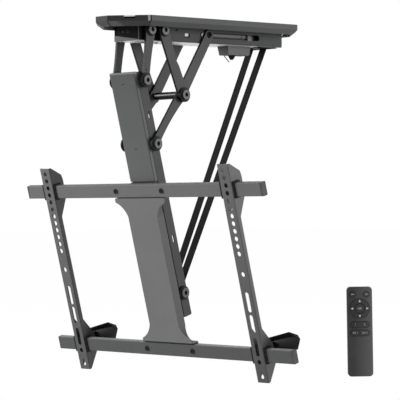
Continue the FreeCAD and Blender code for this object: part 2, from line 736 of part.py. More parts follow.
def motor_tube():
    tube = rod_y(0, UPPER_PIVOT_Z, MOTOR_R, MOTOR_FRONT_Y, MOTOR_REAR_Y)
    collar = rod_y(0, UPPER_PIVOT_Z, MOTOR_R + MOTOR_COLLAR, MOTOR_REAR_Y - MOTOR_COLLAR_LENGTH, MOTOR_REAR_Y)
    nose = rod_y(0, UPPER_PIVOT_Z, MOTOR_NOSE_R, MOTOR_FRONT_Y - MOTOR_NOSE_LENGTH, MOTOR_FRONT_Y)
    return fuse([tube, collar, nose])


keep("motor_tube", motor_tube())


def gearbox():
    case = block(-GEAR_HALF_X, GEAR_HALF_X, MOTOR_REAR_Y, GEARBOX_REAR_Y, CASE_BOTTOM_Z, CASE_TOP_Z)
    case = rounded_along(case, Z_AXIS, GEAR_CORNER_R, lambda p: p.y < MOTOR_REAR_Y + 1)
    nose = block(-NOSE_HALF_X, NOSE_HALF_X, GEARBOX_REAR_Y, DRUM_Y + GEAR_NOSE_REACH,
                 DRUM_Z - GEAR_NOSE_REACH, DRUM_Z + GEAR_NOSE_REACH)
    nose = rounded_along(nose, X_AXIS, GEAR_NOSE_ROUND, lambda p: p.y > DRUM_Y)
    whole = fuse([case, nose])
    return whole.cut(rod_x(DRUM_Y, DRUM_Z, DRUM_SHAFT_R + PIVOT_CLEARANCE, -NOSE_HALF_X - 1, NOSE_HALF_X + 1))


keep("gearbox", gearbox())


def drum_side_plates():
    plates = []
    for side in (-1, 1):
        x0, x1 = sorted((side * SIDE_PLATE_X0, side * INSIDE))
        plate = block(x0, x1, DRUM_Y - SIDE_PLATE_HALF, DRUM_Y + SIDE_PLATE_HALF, CASE_BOTTOM_Z, CASE_TOP_Z)
        plates.append(plate.cut(rod_x(DRUM_Y, DRUM_Z, DRUM_SHAFT_R + PIVOT_CLEARANCE, x0 - 1, x1 + 1)))
    return plates


keep("drum_side_plates", drum_side_plates())


def strap_drum():
    solids = [rod_x(DRUM_Y, DRUM_Z, DRUM_SHAFT_R, -INSIDE + 0.3, INSIDE - 0.3)]
    spool = fuse([rod_x(DRUM_Y, DRUM_Z, DRUM_CORE_R, SPOOL_IN, SPOOL_OUT),
                  rod_x(DRUM_Y, DRUM_Z, DRUM_FLANGE_R, SPOOL_IN, SPOOL_IN + DRUM_FLANGE_THICK),
                  rod_x(DRUM_Y, DRUM_Z, DRUM_FLANGE_R, SPOOL_OUT - DRUM_FLANGE_THICK, SPOOL_OUT)])
    return fuse(solids + [mirrored(spool), spool])


keep("strap_drum", strap_drum())


def limit_switch():
    bodies = []
    for side in (-1, 1):
        x0, x1 = sorted((side * (INSIDE - SWITCH_DEPTH), side * INSIDE))
        y0 = WINDOW_Y - SWITCH_FRONT
        bodies.append(block(x0, x1, y0, y0 + SWITCH_LENGTH,
                            WINDOW_TOP_Z - WINDOW_HEIGHT + SWITCH_SHORT, WINDOW_TOP_Z + SWITCH_OVER))
    return bodies


keep("limit_switch", limit_switch())


def control_box():
    y0 = CONTROL_FRONT_Y
    y1 = y0 + CONTROL_LENGTH
    top = COVER_BOTTOM_Z
    low = top - CONTROL_HEIGHT
    half = CONTROL_HALF_WIDTH

    def ring(inset, z):
        points = [V(-half + inset, y0 + inset, z), V(half - inset, y0 + inset, z),
                  V(half - inset, y1 - inset, z), V(-half + inset, y1 - inset, z)]
        return Part.makePolygon(points + [points[0]])

    body = Part.makeLoft([ring(0, top), ring(CONTROL_TAPER, low)], True, True)
    return body.makeFillet(CONTROL_ROUND, [edge for edge in body.Edges if edge.CenterOfMass.z < top - 0.1])


keep("control_box", control_box())


def receiver_clip():
    low = COVER_BOTTOM_Z - CONTROL_HEIGHT
    y = CONTROL_FRONT_Y + CLIP_BACK
    outline = [(y - 7, low), (y + 8, low), (y + 4, low - 5), (y, low - CLIP_DROP), (y - 3, low - 6)]
    hook = prism_x(outline, -CLIP_HALF_WIDTH, CLIP_HALF_WIDTH)
    foot = V(AERIAL_X, CONTROL_FRONT_Y + AERIAL_BACK, low - AERIAL_SUNK)
    return [hook, Part.makeCylinder(AERIAL_R, AERIAL_LENGTH, foot, V(0, 15, -13))]


keep("receiver_clip", receiver_clip())


def strap_guide():
    half = STRAP_TOP_X + STRAP_WIDTH / 2 + GUIDE_FRAME_SIDE
    low = COVER_BOTTOM_Z - GUIDE_FRAME_THICK
    frame = block(-half, half, STRAP_SLOT_Y0 - GUIDE_FRAME_FRONT, STRAP_SLOT_Y1 + GUIDE_FRAME_REAR,
                  low, COVER_BOTTOM_Z)
    for hole in strap_exits(STRAP_EXIT_SIDE, low - 1, COVER_BOTTOM_Z + 1):
        frame = frame.cut(hole)
    return frame


keep("strap_guide", strap_guide())

# Pivot hardware shared by every joint of the linkage


def hex_socket(pivot, radius, x0, x1):
    y, z = pivot
    turns = [math.radians(60 * k) for k in range(6)]
    return prism_x([(y + radius * math.cos(t), z + radius * math.sin(t)) for t in turns], x0, x1)


def pivot_bolt(pivot, x_start, x_seat, head_r):
    y, z = pivot
    shank = rod_x(y, z, SHANK_R, x_start, x_seat)
    head = rod_x(y, z, head_r, x_seat, x_seat + HEAD_THICK)
    rim = [edge for edge in head.Edges if edge.CenterOfMass.x > x_seat + HEAD_THICK - 0.01]
    head = head.makeChamfer(HEAD_CHAMFER, rim)
    socket = hex_socket(pivot, HEX_R, x_seat + HEAD_THICK - HEX_DEPTH, x_seat + HEAD_THICK + 1)
    return fuse([shank, head]).cut(socket)


def flat_pin(pivot, x_start, x_seat):
    y, z = pivot
    head_x = x_seat + PIN_HEAD_THICK
    pin = fuse([rod_x(y, z, SHANK_R, x_start, x_seat), rod_x(y, z, PIN_HEAD_R, x_seat, head_x)])
    return pin.cut(hex_socket(pivot, PIN_HEX_R, head_x - HEX_DEPTH, head_x + 1))


def washer(pivot, radius, x0, x1, bore_r):
    y, z = pivot
    ring = rod_x(y, z, radius, x0, x1)
    ring = ring.makeChamfer(WASHER_CHAMFER, [e for e in ring.Edges if e.CenterOfMass.x > x1 - 0.01])
    return ring.cut(rod_x(y, z, bore_r, x0 - 1, x1 + 1))


def both_sides(shape):
    return [mirrored(shape), shape]


upper_bolts = []
upper_bushes = []
for pivot, arm_x0, arm_x1 in ((PIVOT_A, FRONT_X0, FRONT_X1), (PIVOT_B, OUTER_X0, OUTER_X1)):
    seat_x = arm_x1 + WASHER_GAP + THIN_WASHER_THICK
    upper_bolts += both_sides(pivot_bolt(pivot, INSIDE - BOLT_TAIL, seat_x, HEAD_R))
    spacer = washer(pivot, SPACER_R, CHANNEL_HALF_WIDTH, arm_x0 - WASHER_GAP, SHANK_R)
    cap = washer(pivot, UPPER_WASHER_R, arm_x1 + WASHER_GAP, seat_x, SHANK_R)
    upper_bushes += both_sides(spacer) + both_sides(cap)
keep("upper_pivot_bolts", upper_bolts)
keep("upper_pivot_bushes", upper_bushes)

# Arms, cut from plate


def beside(p0, p1, share, distance):
    # Point at a share of the way from p0 to p1, moved sideways towards the rear
    dy = p1[0] - p0[0]
    dz = p1[1] - p0[1]
    length = math.hypot(dy, dz)
    return (p0[0] + dy * share - dz / length * distance, p0[1] + dz * share + dy / length * distance)


def blade(p0, p1, rear_side, front_side, x0, x1):
    # Each side is a list of (share of the way, distance from the centre line)
    outline = [beside(p0, p1, share, distance) for share, distance in rear_side]
    outline += [beside(p0, p1, share, -distance) for share, distance in reversed(front_side)]
    return prism_x(outline, x0, x1)


def edge_through(points):
    start, middle, end = points
    along = end.sub(start)
    if along.cross(middle.sub(start)).Length < 1e-3 * along.Length:
        return Part.makeLine(start, end)
    return Part.Arc(start, middle, end).toShape()


def curved_blade(p0, p1, rear_side, front_side, x0, x1):
    # Each side is an arc through its distances at the start, the middle and the end
    rear = [V(x0, *beside(p0, p1, share, d)) for share, d in zip((0, 0.5, 1), rear_side)]
    front = [V(x0, *beside(p0, p1, share, -d)) for share, d in zip((0, 0.5, 1), front_side)]
    edges = [edge_through(rear), Part.makeLine(rear[2], front[2]),
             edge_through(front[::-1]), Part.makeLine(front[0], rear[0])]
    return Part.Face(Part.Wire(edges)).extrude(V(x1 - x0, 0, 0))


def eye(pivot, radius, x0, x1):
    return rod_x(pivot[0], pivot[1], radius, x0, x1)


def bored(shape, pivots, clearance):
    for y, z in pivots:
        shape = shape.cut(rod_x(y, z, SHANK_R + clearance, -LINKAGE_REACH, LINKAGE_REACH))
    return shape


def front_arm():
    side = (ARM_EYE_R - EYE_EASE, FRONT_ARM_WAIST / 2, FRONT_ARM_WAIST / 2 + 1)
    plate = fuse([eye(PIVOT_A, ARM_EYE_R, FRONT_X0, FRONT_X1),
                  eye(PIVOT_C, ARM_EYE_R, FRONT_X0, FRONT_X1),
                  curved_blade(PIVOT_A, PIVOT_C, side, side, FRONT_X0, FRONT_X1)])
    length = math.hypot(ARM_TO_MAST_DY, ARM_TO_MAST_DZ)
    y, z = beside(PIVOT_A, PIVOT_C, 1 - FRONT_ARM_HOLE_UP / length, -FRONT_ARM_HOLE_ASIDE)
    plate = plate.cut(rod_x(y, z, FRONT_ARM_HOLE_R, FRONT_X0 - 1, FRONT_X1 + 1))
    plate = bored(plate, [PIVOT_A], PIVOT_CLEARANCE)
    return bored(plate, [PIVOT_C], 0)


def rear_arm():
    # The rear edge steps out below the waist, the front edge is straight
    half = ARM_EYE_R - EYE_EASE
    waist = REAR_ARM_WAIST - half
    rear_side = [(0, half), (0.5, waist), (0.58, waist + REAR_ARM_STEP), (1, half)]
    plate = fuse([eye(PIVOT_B, ARM_EYE_R, OUTER_X0, OUTER_X1),
                  eye(PIVOT_D, ARM_EYE_R + 1, OUTER_X0, OUTER_X1),
                  blade(PIVOT_B, PIVOT_D, rear_side, [(0, half), (1, half)], OUTER_X0, OUTER_X1)])
    plate = bored(plate, [PIVOT_B], PIVOT_CLEARANCE)
    return bored(plate, [PIVOT_D], 0)


def scissor_arm():
    upper = [(0, SCISSOR_UPPER_WIDTH / 2), (1, SCISSOR_UPPER_WIDTH / 2 + 1)]
    elbow = SCISSOR_ELBOW_WIDTH / 2
    foot = SCISSOR_FOOT_WIDTH / 2
    straight = (elbow + foot) / 2
    plate = fuse([eye(PIVOT_S, SCISSOR_TOP_EYE_R, INNER_X0, INNER_X1),
                  eye(PIVOT_D, ARM_EYE_R, INNER_X0, INNER_X1),
                  eye(PIVOT_E, ARM_EYE_R - 1, INNER_X0, INNER_X1),
                  blade(PIVOT_S, PIVOT_D, upper, upper, INNER_X0, INNER_X1),
                  curved_blade(PIVOT_D, PIVOT_E, (elbow, SCISSOR_WAIST - straight, foot),
                               (elbow, straight, foot), INNER_X0, INNER_X1)])
    plate = bored(plate, [PIVOT_D, PIVOT_E], PIVOT_CLEARANCE)
    return bored(plate, [PIVOT_S], 0)


for name, maker in (("front_arm", front_arm), ("rear_arm", rear_arm), ("scissor_arm", scissor_arm)):
    arm = maker()
    keep(name + "_left", mirrored(arm))
    keep(name + "_right", arm)

# The front arm's lower pivot keeps clear of the mast's wall
front_seat_x = FRONT_X1 + FRONT_DISC_THICK
front_spacer = washer(PIVOT_C, SPACER_R, MAST_HALF_WIDTH + OPEN_PIVOT_GAP, FRONT_X0, SHANK_R)
front_disc = washer(PIVOT_C, WASHER_R, FRONT_X1, front_seat_x, SHANK_R)
keep("front_arm_bushes", both_sides(front_spacer) + both_sides(front_disc))
keep("front_arm_bolts", both_sides(
    pivot_bolt(PIVOT_C, MAST_HALF_WIDTH + OPEN_PIVOT_GAP, front_seat_x, HEAD_R)))

# Elbow: the cross rod, with a bolt and a washer at each end
rod_half = INNER_X0 - WASHER_GAP
keep("cross_rod", fuse([
    rod_x(PIVOT_D[0], PIVOT_D[1], CROSS_ROD_NECK_R, -rod_half, rod_half),
    rod_x(PIVOT_D[0], PIVOT_D[1], CROSS_ROD_R, CROSS_ROD_NECK - rod_half, rod_half - CROSS_ROD_NECK)]))
elbow_seat_x = OUTER_SEAT_X - WASHER_GAP
keep("rear_arm_bushes", both_sides(washer(PIVOT_D, WASHER_R, OUTER_X1, elbow_seat_x, SHANK_R)))
keep("rear_arm_bolts", both_sides(pivot_bolt(PIVOT_D, rod_half, elbow_seat_x, HEAD_R)))

# Guide pins ride on the scissor arms and stop short of the sliders
keep("slide_pins", both_sides(flat_pin(PIVOT_S, INNER_X0, INNER_X1)))


def slider_block():
    z = PIVOT_S[1]
    half = GUIDE_HEIGHT / 2 - SLIDER_CLEARANCE
    y0 = PIVOT_S[0] - SLIDER_HALF_LENGTH
    y1 = PIVOT_S[0] + SLIDER_HALF_LENGTH
    flange_x = INSIDE - SLIDER_WALL_GAP
    tongue = obround_x(y0, y1, z, half, INSIDE - SLIDER_TONGUE_IN, CHANNEL_HALF_WIDTH + SLIDER_PROUD)
    flange = obround_x(y0 - SLIDER_FLANGE_END, y1 + SLIDER_FLANGE_END, z, half + SLIDER_FLANGE,
                       flange_x - SLIDER_FLANGE_THICK, flange_x)
    return fuse([tongue, flange])


keep("slider_blocks", both_sides(slider_block()))

# Mast, built upright and then tilted


def mast_channel():
    top_v = MAST_PIVOT_V + MAST_TOP_OVER_PIVOT - COVER_THICK
    outer = MAST_HALF_WIDTH
    inner = outer - MAST_SHEET
    front = MAST_FRONT_W
    half_front = outer - MAST_STEP_IN
    outline = [(half_front, front), (half_front, MAST_JOGGLE_W), (outer, MAST_JOGGLE_W), (outer, MAST_REAR_W),
               (inner, MAST_REAR_W), (inner, MAST_JOGGLE_W + MAST_SHEET),
               (half_front - MAST_SHEET, MAST_JOGGLE_W + MAST_SHEET),
               (half_front - MAST_SHEET, front + MAST_SHEET)]
    outline += [(-x, w) for x, w in reversed(outline)]
    body = prism_z(outline, MAST_BOTTOM_V, top_v)
    body = body.fuse(block(-half_front, half_front, PANEL_TAB_W, front, -BAR_HEIGHT / 2, BAR_HEIGHT / 2))
    body = body.removeSplitter()
    for v in (PIVOT_E_V, PIVOT_F_V):
        body = body.cut(rod_x(MAST_PIVOT_W, v, SHANK_R, -MAST_REACH, MAST_REACH))
    slot_w = MAST_REAR_W - SIDE_SLOT_IN
    for v in SIDE_SLOT_VS:
        body = body.cut(block(-MAST_REACH, MAST_REACH, slot_w, slot_w + SIDE_SLOT_WIDTH,
                              v - SIDE_SLOT_HALF, v + SIDE_SLOT_HALF))
    for v in (COVER_SCREW_LOW_V, COVER_SCREW_HIGH_V):
        body = body.cut(rod_y(0, v, TRIM_HOLE_R, MAST_FRONT_W - 1, MAST_FRONT_W + MAST_SHEET + 1))
    rear_foot = edges_along(body, X_AXIS, lambda p: p.y > MAST_REAR_W - 0.1 and p.z < MAST_BOTTOM_V + 0.1)
    return body.makeFillet(MAST_FOOT_R, rear_foot)


keep("mast_channel", on_mast(mast_channel()))


def mast_front_cover():
    top_v = MAST_PIVOT_V + MAST_TOP_OVER_PIVOT
    outer = MAST_HALF_WIDTH
    shell = block(-outer, outer, COVER_FRONT_W, COVER_RETURN_W, COVER_BOTTOM_V, top_v)
    shell = rounded_along(shell, Z_AXIS, COVER_CORNER_R, lambda p: p.y < COVER_FRONT_W + 0.1)
    hollow = block(-outer + COVER_THICK, outer - COVER_THICK, COVER_FRONT_W + COVER_THICK, COVER_RETURN_W + 1,
                   COVER_BOTTOM_V - 1, top_v - COVER_THICK)
    shell = shell.cut(hollow)
    seats = [rod_y(0, v, TRIM_SEAT_R, COVER_FRONT_W + COVER_THICK, MAST_FRONT_W)
             for v in (COVER_SCREW_LOW_V, COVER_SCREW_HIGH_V)]
    shell = fuse([shell] + seats)
    for v in (COVER_SCREW_LOW_V, COVER_SCREW_HIGH_V):
        shell = shell.cut(rod_y(0, v, TRIM_HOLE_R, COVER_FRONT_W - 1, MAST_FRONT_W + 1))
    return shell


keep("mast_front_cover", on_mast(mast_front_cover()))


def cover_screw(v):
    start = COVER_FRONT_W + TRIM_SCREW_SUNK
    shank = rod_y(0, v, TRIM_HOLE_R - SCREW_CLEARANCE, start, MAST_FRONT_W + TRIM_SCREW_TAIL)
    return shank.cut(rod_y(0, v, TRIM_HOLE_R / 2, COVER_FRONT_W, start + 1))


keep("cover_screws", [on_mast(cover_screw(v)) for v in (COVER_SCREW_LOW_V, COVER_SCREW_HIGH_V)])

# Spine panel between the crossbars, waisted, with its end tabs behind them


def panel_face_outline():
    waist = PANEL_WAIST_HALF
    flare = PANEL_FLARE_HALF
    right = []
    top = PANEL_TOP_V
    low = PANEL_BOTTOM_V
    right.append(Part.makeLine(V(-flare, 0, top), V(flare, 0, top)))
    right.append(Part.makeLine(V(flare, 0, top), V(flare, 0, top - PANEL_SHOULDER)))
    ease = PANEL_CURVE_EASE
    curve_mid = V(waist + (flare - waist) * (1 - ease), 0, top - PANEL_SHOULDER - PANEL_CURVE * (1 - ease))
    right.append(Part.Arc(V(flare, 0, top - PANEL_SHOULDER), curve_mid,
                          V(waist, 0, top - PANEL_SHOULDER - PANEL_CURVE)).toShape())
    right.append(Part.makeLine(V(waist, 0, top - PANEL_SHOULDER - PANEL_CURVE),
                               V(waist, 0, low + PANEL_SHOULDER + PANEL_CURVE)))
    low_mid = V(curve_mid.x, 0, low + PANEL_SHOULDER + PANEL_CURVE * (1 - ease))
    right.append(Part.Arc(V(waist, 0, low + PANEL_SHOULDER + PANEL_CURVE), low_mid,
                          V(flare, 0, low + PANEL_SHOULDER)).toShape())
    right.append(Part.makeLine(V(flare, 0, low + PANEL_SHOULDER), V(flare, 0, low)))
    right.append(Part.makeLine(V(flare, 0, low), V(-flare, 0, low)))
    left = [edge.mirror(V(0, 0, 0), X_AXIS) for edge in right[1:6]]
    return Part.Wire(Part.__sortEdges__(right + left))


def tv_panel():
    wire = panel_face_outline()
    solid = Part.Face(wire).extrude(V(0, PANEL_FLANGE_W - PANEL_FRONT_W, 0))
    solid.translate(V(0, PANEL_FRONT_W, 0))
    inner_wire = wire.makeOffset2D(-PANEL_SHEET)
    hollow = Part.Face(inner_wire).extrude(V(0, PANEL_FLANGE_W, 0))
    hollow.translate(V(0, PANEL_FRONT_W + PANEL_SHEET, 0))
    shell = solid.cut(hollow)
    reach = PANEL_SHOULDER + PANEL_CURVE
    flare_cut = PANEL_FLARE_HALF + 1
    flange_start = PANEL_FRONT_W + PANEL_SHEET + PANEL_FLANGE_START
    # The side flanges fade out along the flares, and the end walls stop at the tabs
    for end_v, inward in ((PANEL_TOP_V, -1), (PANEL_BOTTOM_V, 1)):
        wall_v = end_v + inward * PANEL_SHEET
        taper = [(flange_start, wall_v), (PANEL_FLANGE_W + 1, wall_v),
                 (PANEL_FLANGE_W + 1, end_v + inward * reach),
                 (flange_start, wall_v + inward * PANEL_SHOULDER)]
        shell = shell.cut(prism_x(taper, -flare_cut, flare_cut))
        v0, v1 = sorted((end_v - inward, wall_v))
        shell = shell.cut(block(-flare_cut, flare_cut, PANEL_TAB_W, PANEL_FLANGE_W + 1, v0, v1))
    tab_w0 = BAR_DEPTH
    tabs = []
    for centre in (0, -BAR_SPACING):
        low = centre - BAR_HEIGHT / 2 + (0 if centre == 0 else PANEL_TAB_SHORT)
        high = centre + BAR_HEIGHT / 2 - (PANEL_TAB_SHORT if centre == 0 else 0)
        inner = PANEL_TOP_V - PANEL_SHEET if centre == 0 else PANEL_BOTTOM_V + PANEL_SHEET
        z0, z1 = (inner, high) if centre == 0 else (low, inner)
        tab = block(-PANEL_FLARE_HALF, PANEL_FLARE_HALF, tab_w0, PANEL_TAB_W, z0, z1)
        for side in (-1, 1):
            tab = tab.cut(rod_y(side * BAR_BOLT_HALF, centre, BAR_BOLT_R, tab_w0 - 1, PANEL_TAB_W + 1))
        tabs.append(tab)
    spacers = [block(-PANEL_SPACER_HALF, PANEL_SPACER_HALF, PANEL_FRONT_W + PANEL_SHEET, MAST_FRONT_W,
                     v - PANEL_SPACER_TALL, v + PANEL_SPACER_TALL) for v in PANEL_SPACER_VS]
    return fuse([shell] + tabs + spacers)


keep("tv_panel", on_mast(tv_panel()))


def crossbar(centre_v):
    low = centre_v - BAR_HEIGHT / 2
    high = centre_v + BAR_HEIGHT / 2
    tube = block(-BAR_HALF_LENGTH, BAR_HALF_LENGTH, 0, BAR_DEPTH, low, high)
    tube = rounded_along(tube, X_AXIS, BAR_CORNER_R)
    bore = block(-BAR_HALF_LENGTH - 1, BAR_HALF_LENGTH + 1, BAR_WALL, BAR_DEPTH - BAR_WALL,
                 low + BAR_WALL, high - BAR_WALL)
    tube = tube.cut(bore)
    for side in (-1, 1):
        tube = tube.cut(rod_y(side * BAR_BOLT_HALF, centre_v, BAR_BOLT_R, -1, BAR_DEPTH + 1))
    return tube


keep("crossbar_upper", on_mast(crossbar(0)))
keep("crossbar_lower", on_mast(crossbar(-BAR_SPACING)))


def end_cap(side, centre_v):
    low = centre_v - BAR_HEIGHT / 2
    high = centre_v + BAR_HEIGHT / 2
    x0, x1 = sorted((side * BAR_HALF_LENGTH, side * (BAR_HALF_LENGTH + END_CAP_THICK)))
    cap = block(x0, x1, 0, BAR_DEPTH, low, high)
    cap = rounded_along(cap, X_AXIS, BAR_CORNER_R)
    fit = BAR_WALL + PLUG_FIT
    p0, p1 = sorted((side * BAR_HALF_LENGTH, side * (BAR_HALF_LENGTH - PLUG_LENGTH)))
    plug = block(p0, p1, fit, BAR_DEPTH - fit, low + fit, high - fit)
    return fuse([cap, plug])


keep("crossbar_end_caps", [on_mast(end_cap(side, v)) for side in (-1, 1) for v in (0, -BAR_SPACING)])


def bar_bolt(side, centre_v):
    x = side * BAR_BOLT_HALF
    head = rod_y(x, centre_v, BAR_HEAD_R, -BAR_HEAD_THICK, 0)
    head = head.cut(rod_y(x, centre_v, BAR_HEAD_SOCKET_R, -BAR_HEAD_THICK - 1,
                          BAR_HEAD_SOCKET_DEPTH - BAR_HEAD_THICK))
    shank = rod_y(x, centre_v, BAR_BOLT_R - 2 * SCREW_CLEARANCE, 0, PANEL_TAB_W + 2)
    nut = rod_y(x, centre_v, BAR_NUT_R, PANEL_TAB_W, PANEL_TAB_W + BAR_NUT_THICK)
    return fuse([head, shank, nut])


keep("crossbar_bolts", [on_mast(bar_bolt(side, v)) for side in (-1, 1) for v in (0, -BAR_SPACING)])

# Strap roller across the mast, and the clamp that holds the straps to it
roller = rod_x(PIVOT_F[0], PIVOT_F[1], ROLLER_R, -ROLLER_HALF, ROLLER_HALF)
keep("strap_roller", roller)

lower_bolts = []
lower_bushes = []
bolt_e = pivot_bolt(PIVOT_E, MAST_HALF_WIDTH - MAST_BOLT_TAIL, INNER_SEAT_X, HEAD_R)
disc_e = washer(PIVOT_E, WASHER_R, INNER_X1 + WASHER_GAP, INNER_SEAT_X, SHANK_R)
seat_f = MAST_HALF_WIDTH + WASHER_THICK + 1.0
bolt_f = pivot_bolt(PIVOT_F, ROLLER_HALF, seat_f, HEAD_R)
disc_f = washer(PIVOT_F, WASHER_R - 0.5, MAST_HALF_WIDTH, seat_f, SHANK_R)
for bolt in (bolt_e, bolt_f):
    lower_bolts += both_sides(bolt)
for disc in (disc_e, disc_f):
    lower_bushes += both_sides(disc)
keep("mast_pivot_bolts", lower_bolts)
keep("mast_pivot_bushes", lower_bushes)

# Lifting straps, from the drum's rear side down to the roller


def strap_line():
    # Straight line that touches both circles on their rear sides
    y0, z0 = PIVOT_F
    y1, z1 = DRUM_Y, DRUM_Z
    dy = y1 - y0
    dz = z1 - z0
    length = math.hypot(dy, dz)
    swing = math.asin((STRAP_ROLLER_R - STRAP_DRUM_R) / length)
    angle = math.atan2(dz, dy) - math.pi / 2 + swing
    normal = (math.cos(angle), math.sin(angle))
    tail = (-STRAP_TAIL * dy / length, -STRAP_TAIL * dz / length)
    low = (y0 + normal[0] * STRAP_ROLLER_R + tail[0], z0 + normal[1] * STRAP_ROLLER_R + tail[1])
    high = (y1 + normal[0] * STRAP_DRUM_R, z1 + normal[1] * STRAP_DRUM_R)
    return low, high, normal


STRAP_LOW, STRAP_HIGH, STRAP_NORMAL = strap_line()


def strap(side):
    half = STRAP_THICK / 2
    ny, nz = STRAP_NORMAL

    def section(centre_x, point):
        corners = []
        for across, out in ((-1, -1), (1, -1), (1, 1), (-1, 1)):
            corners.append(V(centre_x + across * STRAP_WIDTH / 2,
                             point[0] + out * half * ny, point[1] + out * half * nz))
        return Part.makePolygon(corners + [corners[0]])

    return Part.makeLoft([section(side * STRAP_LOW_X, STRAP_LOW), section(side * STRAP_TOP_X, STRAP_HIGH)],
                         True, True)


keep("strap_left", strap(-1))
keep("strap_right", strap(1))


def strap_clamp():
    # Folded plate on the roller's shaft, open towards the straps
    y, z = PIVOT_F
    ny, nz = STRAP_NORMAL
    reach = STRAP_ROLLER_R + STRAP_THICK / 2 + STRAP_WRAP_GAP
    half = STRAP_LOW_X + STRAP_WIDTH / 2 + CLAMP_SIDE
    plate = block(-half, half, reach, reach + CLAMP_THICK, -CLAMP_LOW, CLAMP_HIGH)
    ears = []
    for side in (-1, 1):
        x0, x1 = sorted((side * half, side * (half - CLAMP_THICK)))
        ear = block(x0, x1, ROLLER_R / 2, reach, -CLAMP_EAR_HALF, CLAMP_EAR_HALF)
        ears.append(ear.cut(rod_x(0, 0, ROLLER_R, x0 - 1, x1 + 1)))
    clamp = fuse([plate] + ears)
    clamp.rotate(V(0, 0, 0), X_AXIS, math.degrees(math.atan2(nz, ny)))
    clamp.translate(V(0, y, z))
    return clamp


keep("strap_clamp", strap_clamp())

# Television brackets, with the inserts that slide on the crossbars and the lock levers


def bracket_side_outline():
    back = BRACKET_FACE_W + BRACKET_FLANGE_DEPTH
    wing = BRACKET_FACE_W + BRACKET_WING_DEPTH
    low_bar = -BAR_SPACING
    return [(BRACKET_FACE_W, BRACKET_TOP_V), (BRACKET_FACE_W + 5, BRACKET_TOP_V),
            (wing - 2, BRACKET_TOP_V - 20), (wing, BRACKET_TOP_V - 30), (wing, -BAR_HEIGHT / 2 - 2),
            (back, -BAR_HEIGHT / 2 - WING_SLOPE), (back, low_bar + BAR_HEIGHT / 2 + WING_SLOPE),
            (wing - 3, low_bar + BAR_HEIGHT / 2 + 8), (wing, low_bar + BAR_HEIGHT / 2),
            (wing, low_bar - BAR_HEIGHT / 2 - 2), (wing - 3, low_bar - BAR_HEIGHT / 2 - 10),
            (BRACKET_FACE_W + 6, BRACKET_BOTTOM_V + 1), (BRACKET_FACE_W + 4, BRACKET_BOTTOM_V),
            (BRACKET_FACE_W, BRACKET_BOTTOM_V)]


def vertical_slot(centre_x, v0, v1, radius):
    reach = BRACKET_REACH
    middle = block(centre_x - radius, centre_x + radius, -reach, reach, v0 + radius, v1 - radius)
    return fuse([middle] + [rod_y(centre_x, v, radius, -reach, reach) for v in (v0 + radius, v1 - radius)])


def bracket(centre):
    half = BRACKET_WIDTH / 2
    body = prism_x(bracket_side_outline(), centre - half, centre + half)
    body = rounded_along(body, Z_AXIS, BRACKET_EDGE_R, lambda p: p.y < BRACKET_FACE_W + 0.1)
    reach = BRACKET_REACH
    hollow = block(centre - half + BRACKET_SHEET, centre + half - BRACKET_SHEET,
                   BRACKET_FACE_W + BRACKET_SHEET, reach, BRACKET_BOTTOM_V - 1, BRACKET_TOP_V + 1)
    body = body.cut(hollow)
    window = INSERT_LINING + BAR_HEIGHT / 2 + INSERT_CLEARANCE
    for bar_v in (0, -BAR_SPACING):
        body = body.cut(block(centre - half - 1, centre + half + 1, BRACKET_FACE_W + BRACKET_SHEET,
                              BAR_DEPTH + INSERT_LINING + INSERT_CLEARANCE, bar_v - window, bar_v + window))
    for k in range(HOLE_COUNT):
        body = body.cut(rod_y(centre, HOLE_FIRST_V - k * HOLE_PITCH, HOLE_R, -reach, reach))
    for v in SINGLE_HOLES:
        body = body.cut(rod_y(centre, v, HOLE_R, -reach, reach))
    for v0, v1 in SLOT_SPANS:
        body = body.cut(vertical_slot(centre, v0, v1, HOLE_R))
    body = body.cut(rod_y(centre, KEYHOLE_V - KEYHOLE_DROP, HOLE_R, -reach, reach))
    body = body.cut(vertical_slot(centre, KEYHOLE_V - KEYHOLE_NECK_LOW, KEYHOLE_V + KEYHOLE_NECK_HIGH,
                                  KEYHOLE_NECK_R))
    lock = rod_x(LOCK_PIVOT_W, -BAR_SPACING + LOCK_PIVOT_V, LOCK_PIN_R, centre - half - 1, centre + half + 1)
    return body.cut(lock)


def bracket_inserts(centre):
    pieces = []
    half = BRACKET_WIDTH / 2 + INSERT_PROUD
    gap = INSERT_CLEARANCE
    for bar_v in (0, -BAR_SPACING):
        high = BAR_HEIGHT / 2 + gap + INSERT_LINING - INSERT_FIT
        back = BAR_DEPTH + gap + INSERT_LINING - INSERT_FIT
        front = BRACKET_FACE_W + BRACKET_SHEET + INSERT_FIT
        sleeve = block(centre - half, centre + half, front, back, bar_v - high, bar_v + high)
        bore = block(centre - half - 1, centre + half + 1, -gap, BAR_DEPTH + gap,
                     bar_v - BAR_HEIGHT / 2 - gap, bar_v + BAR_HEIGHT / 2 + gap)
        pieces.append(sleeve.cut(bore))
    return pieces


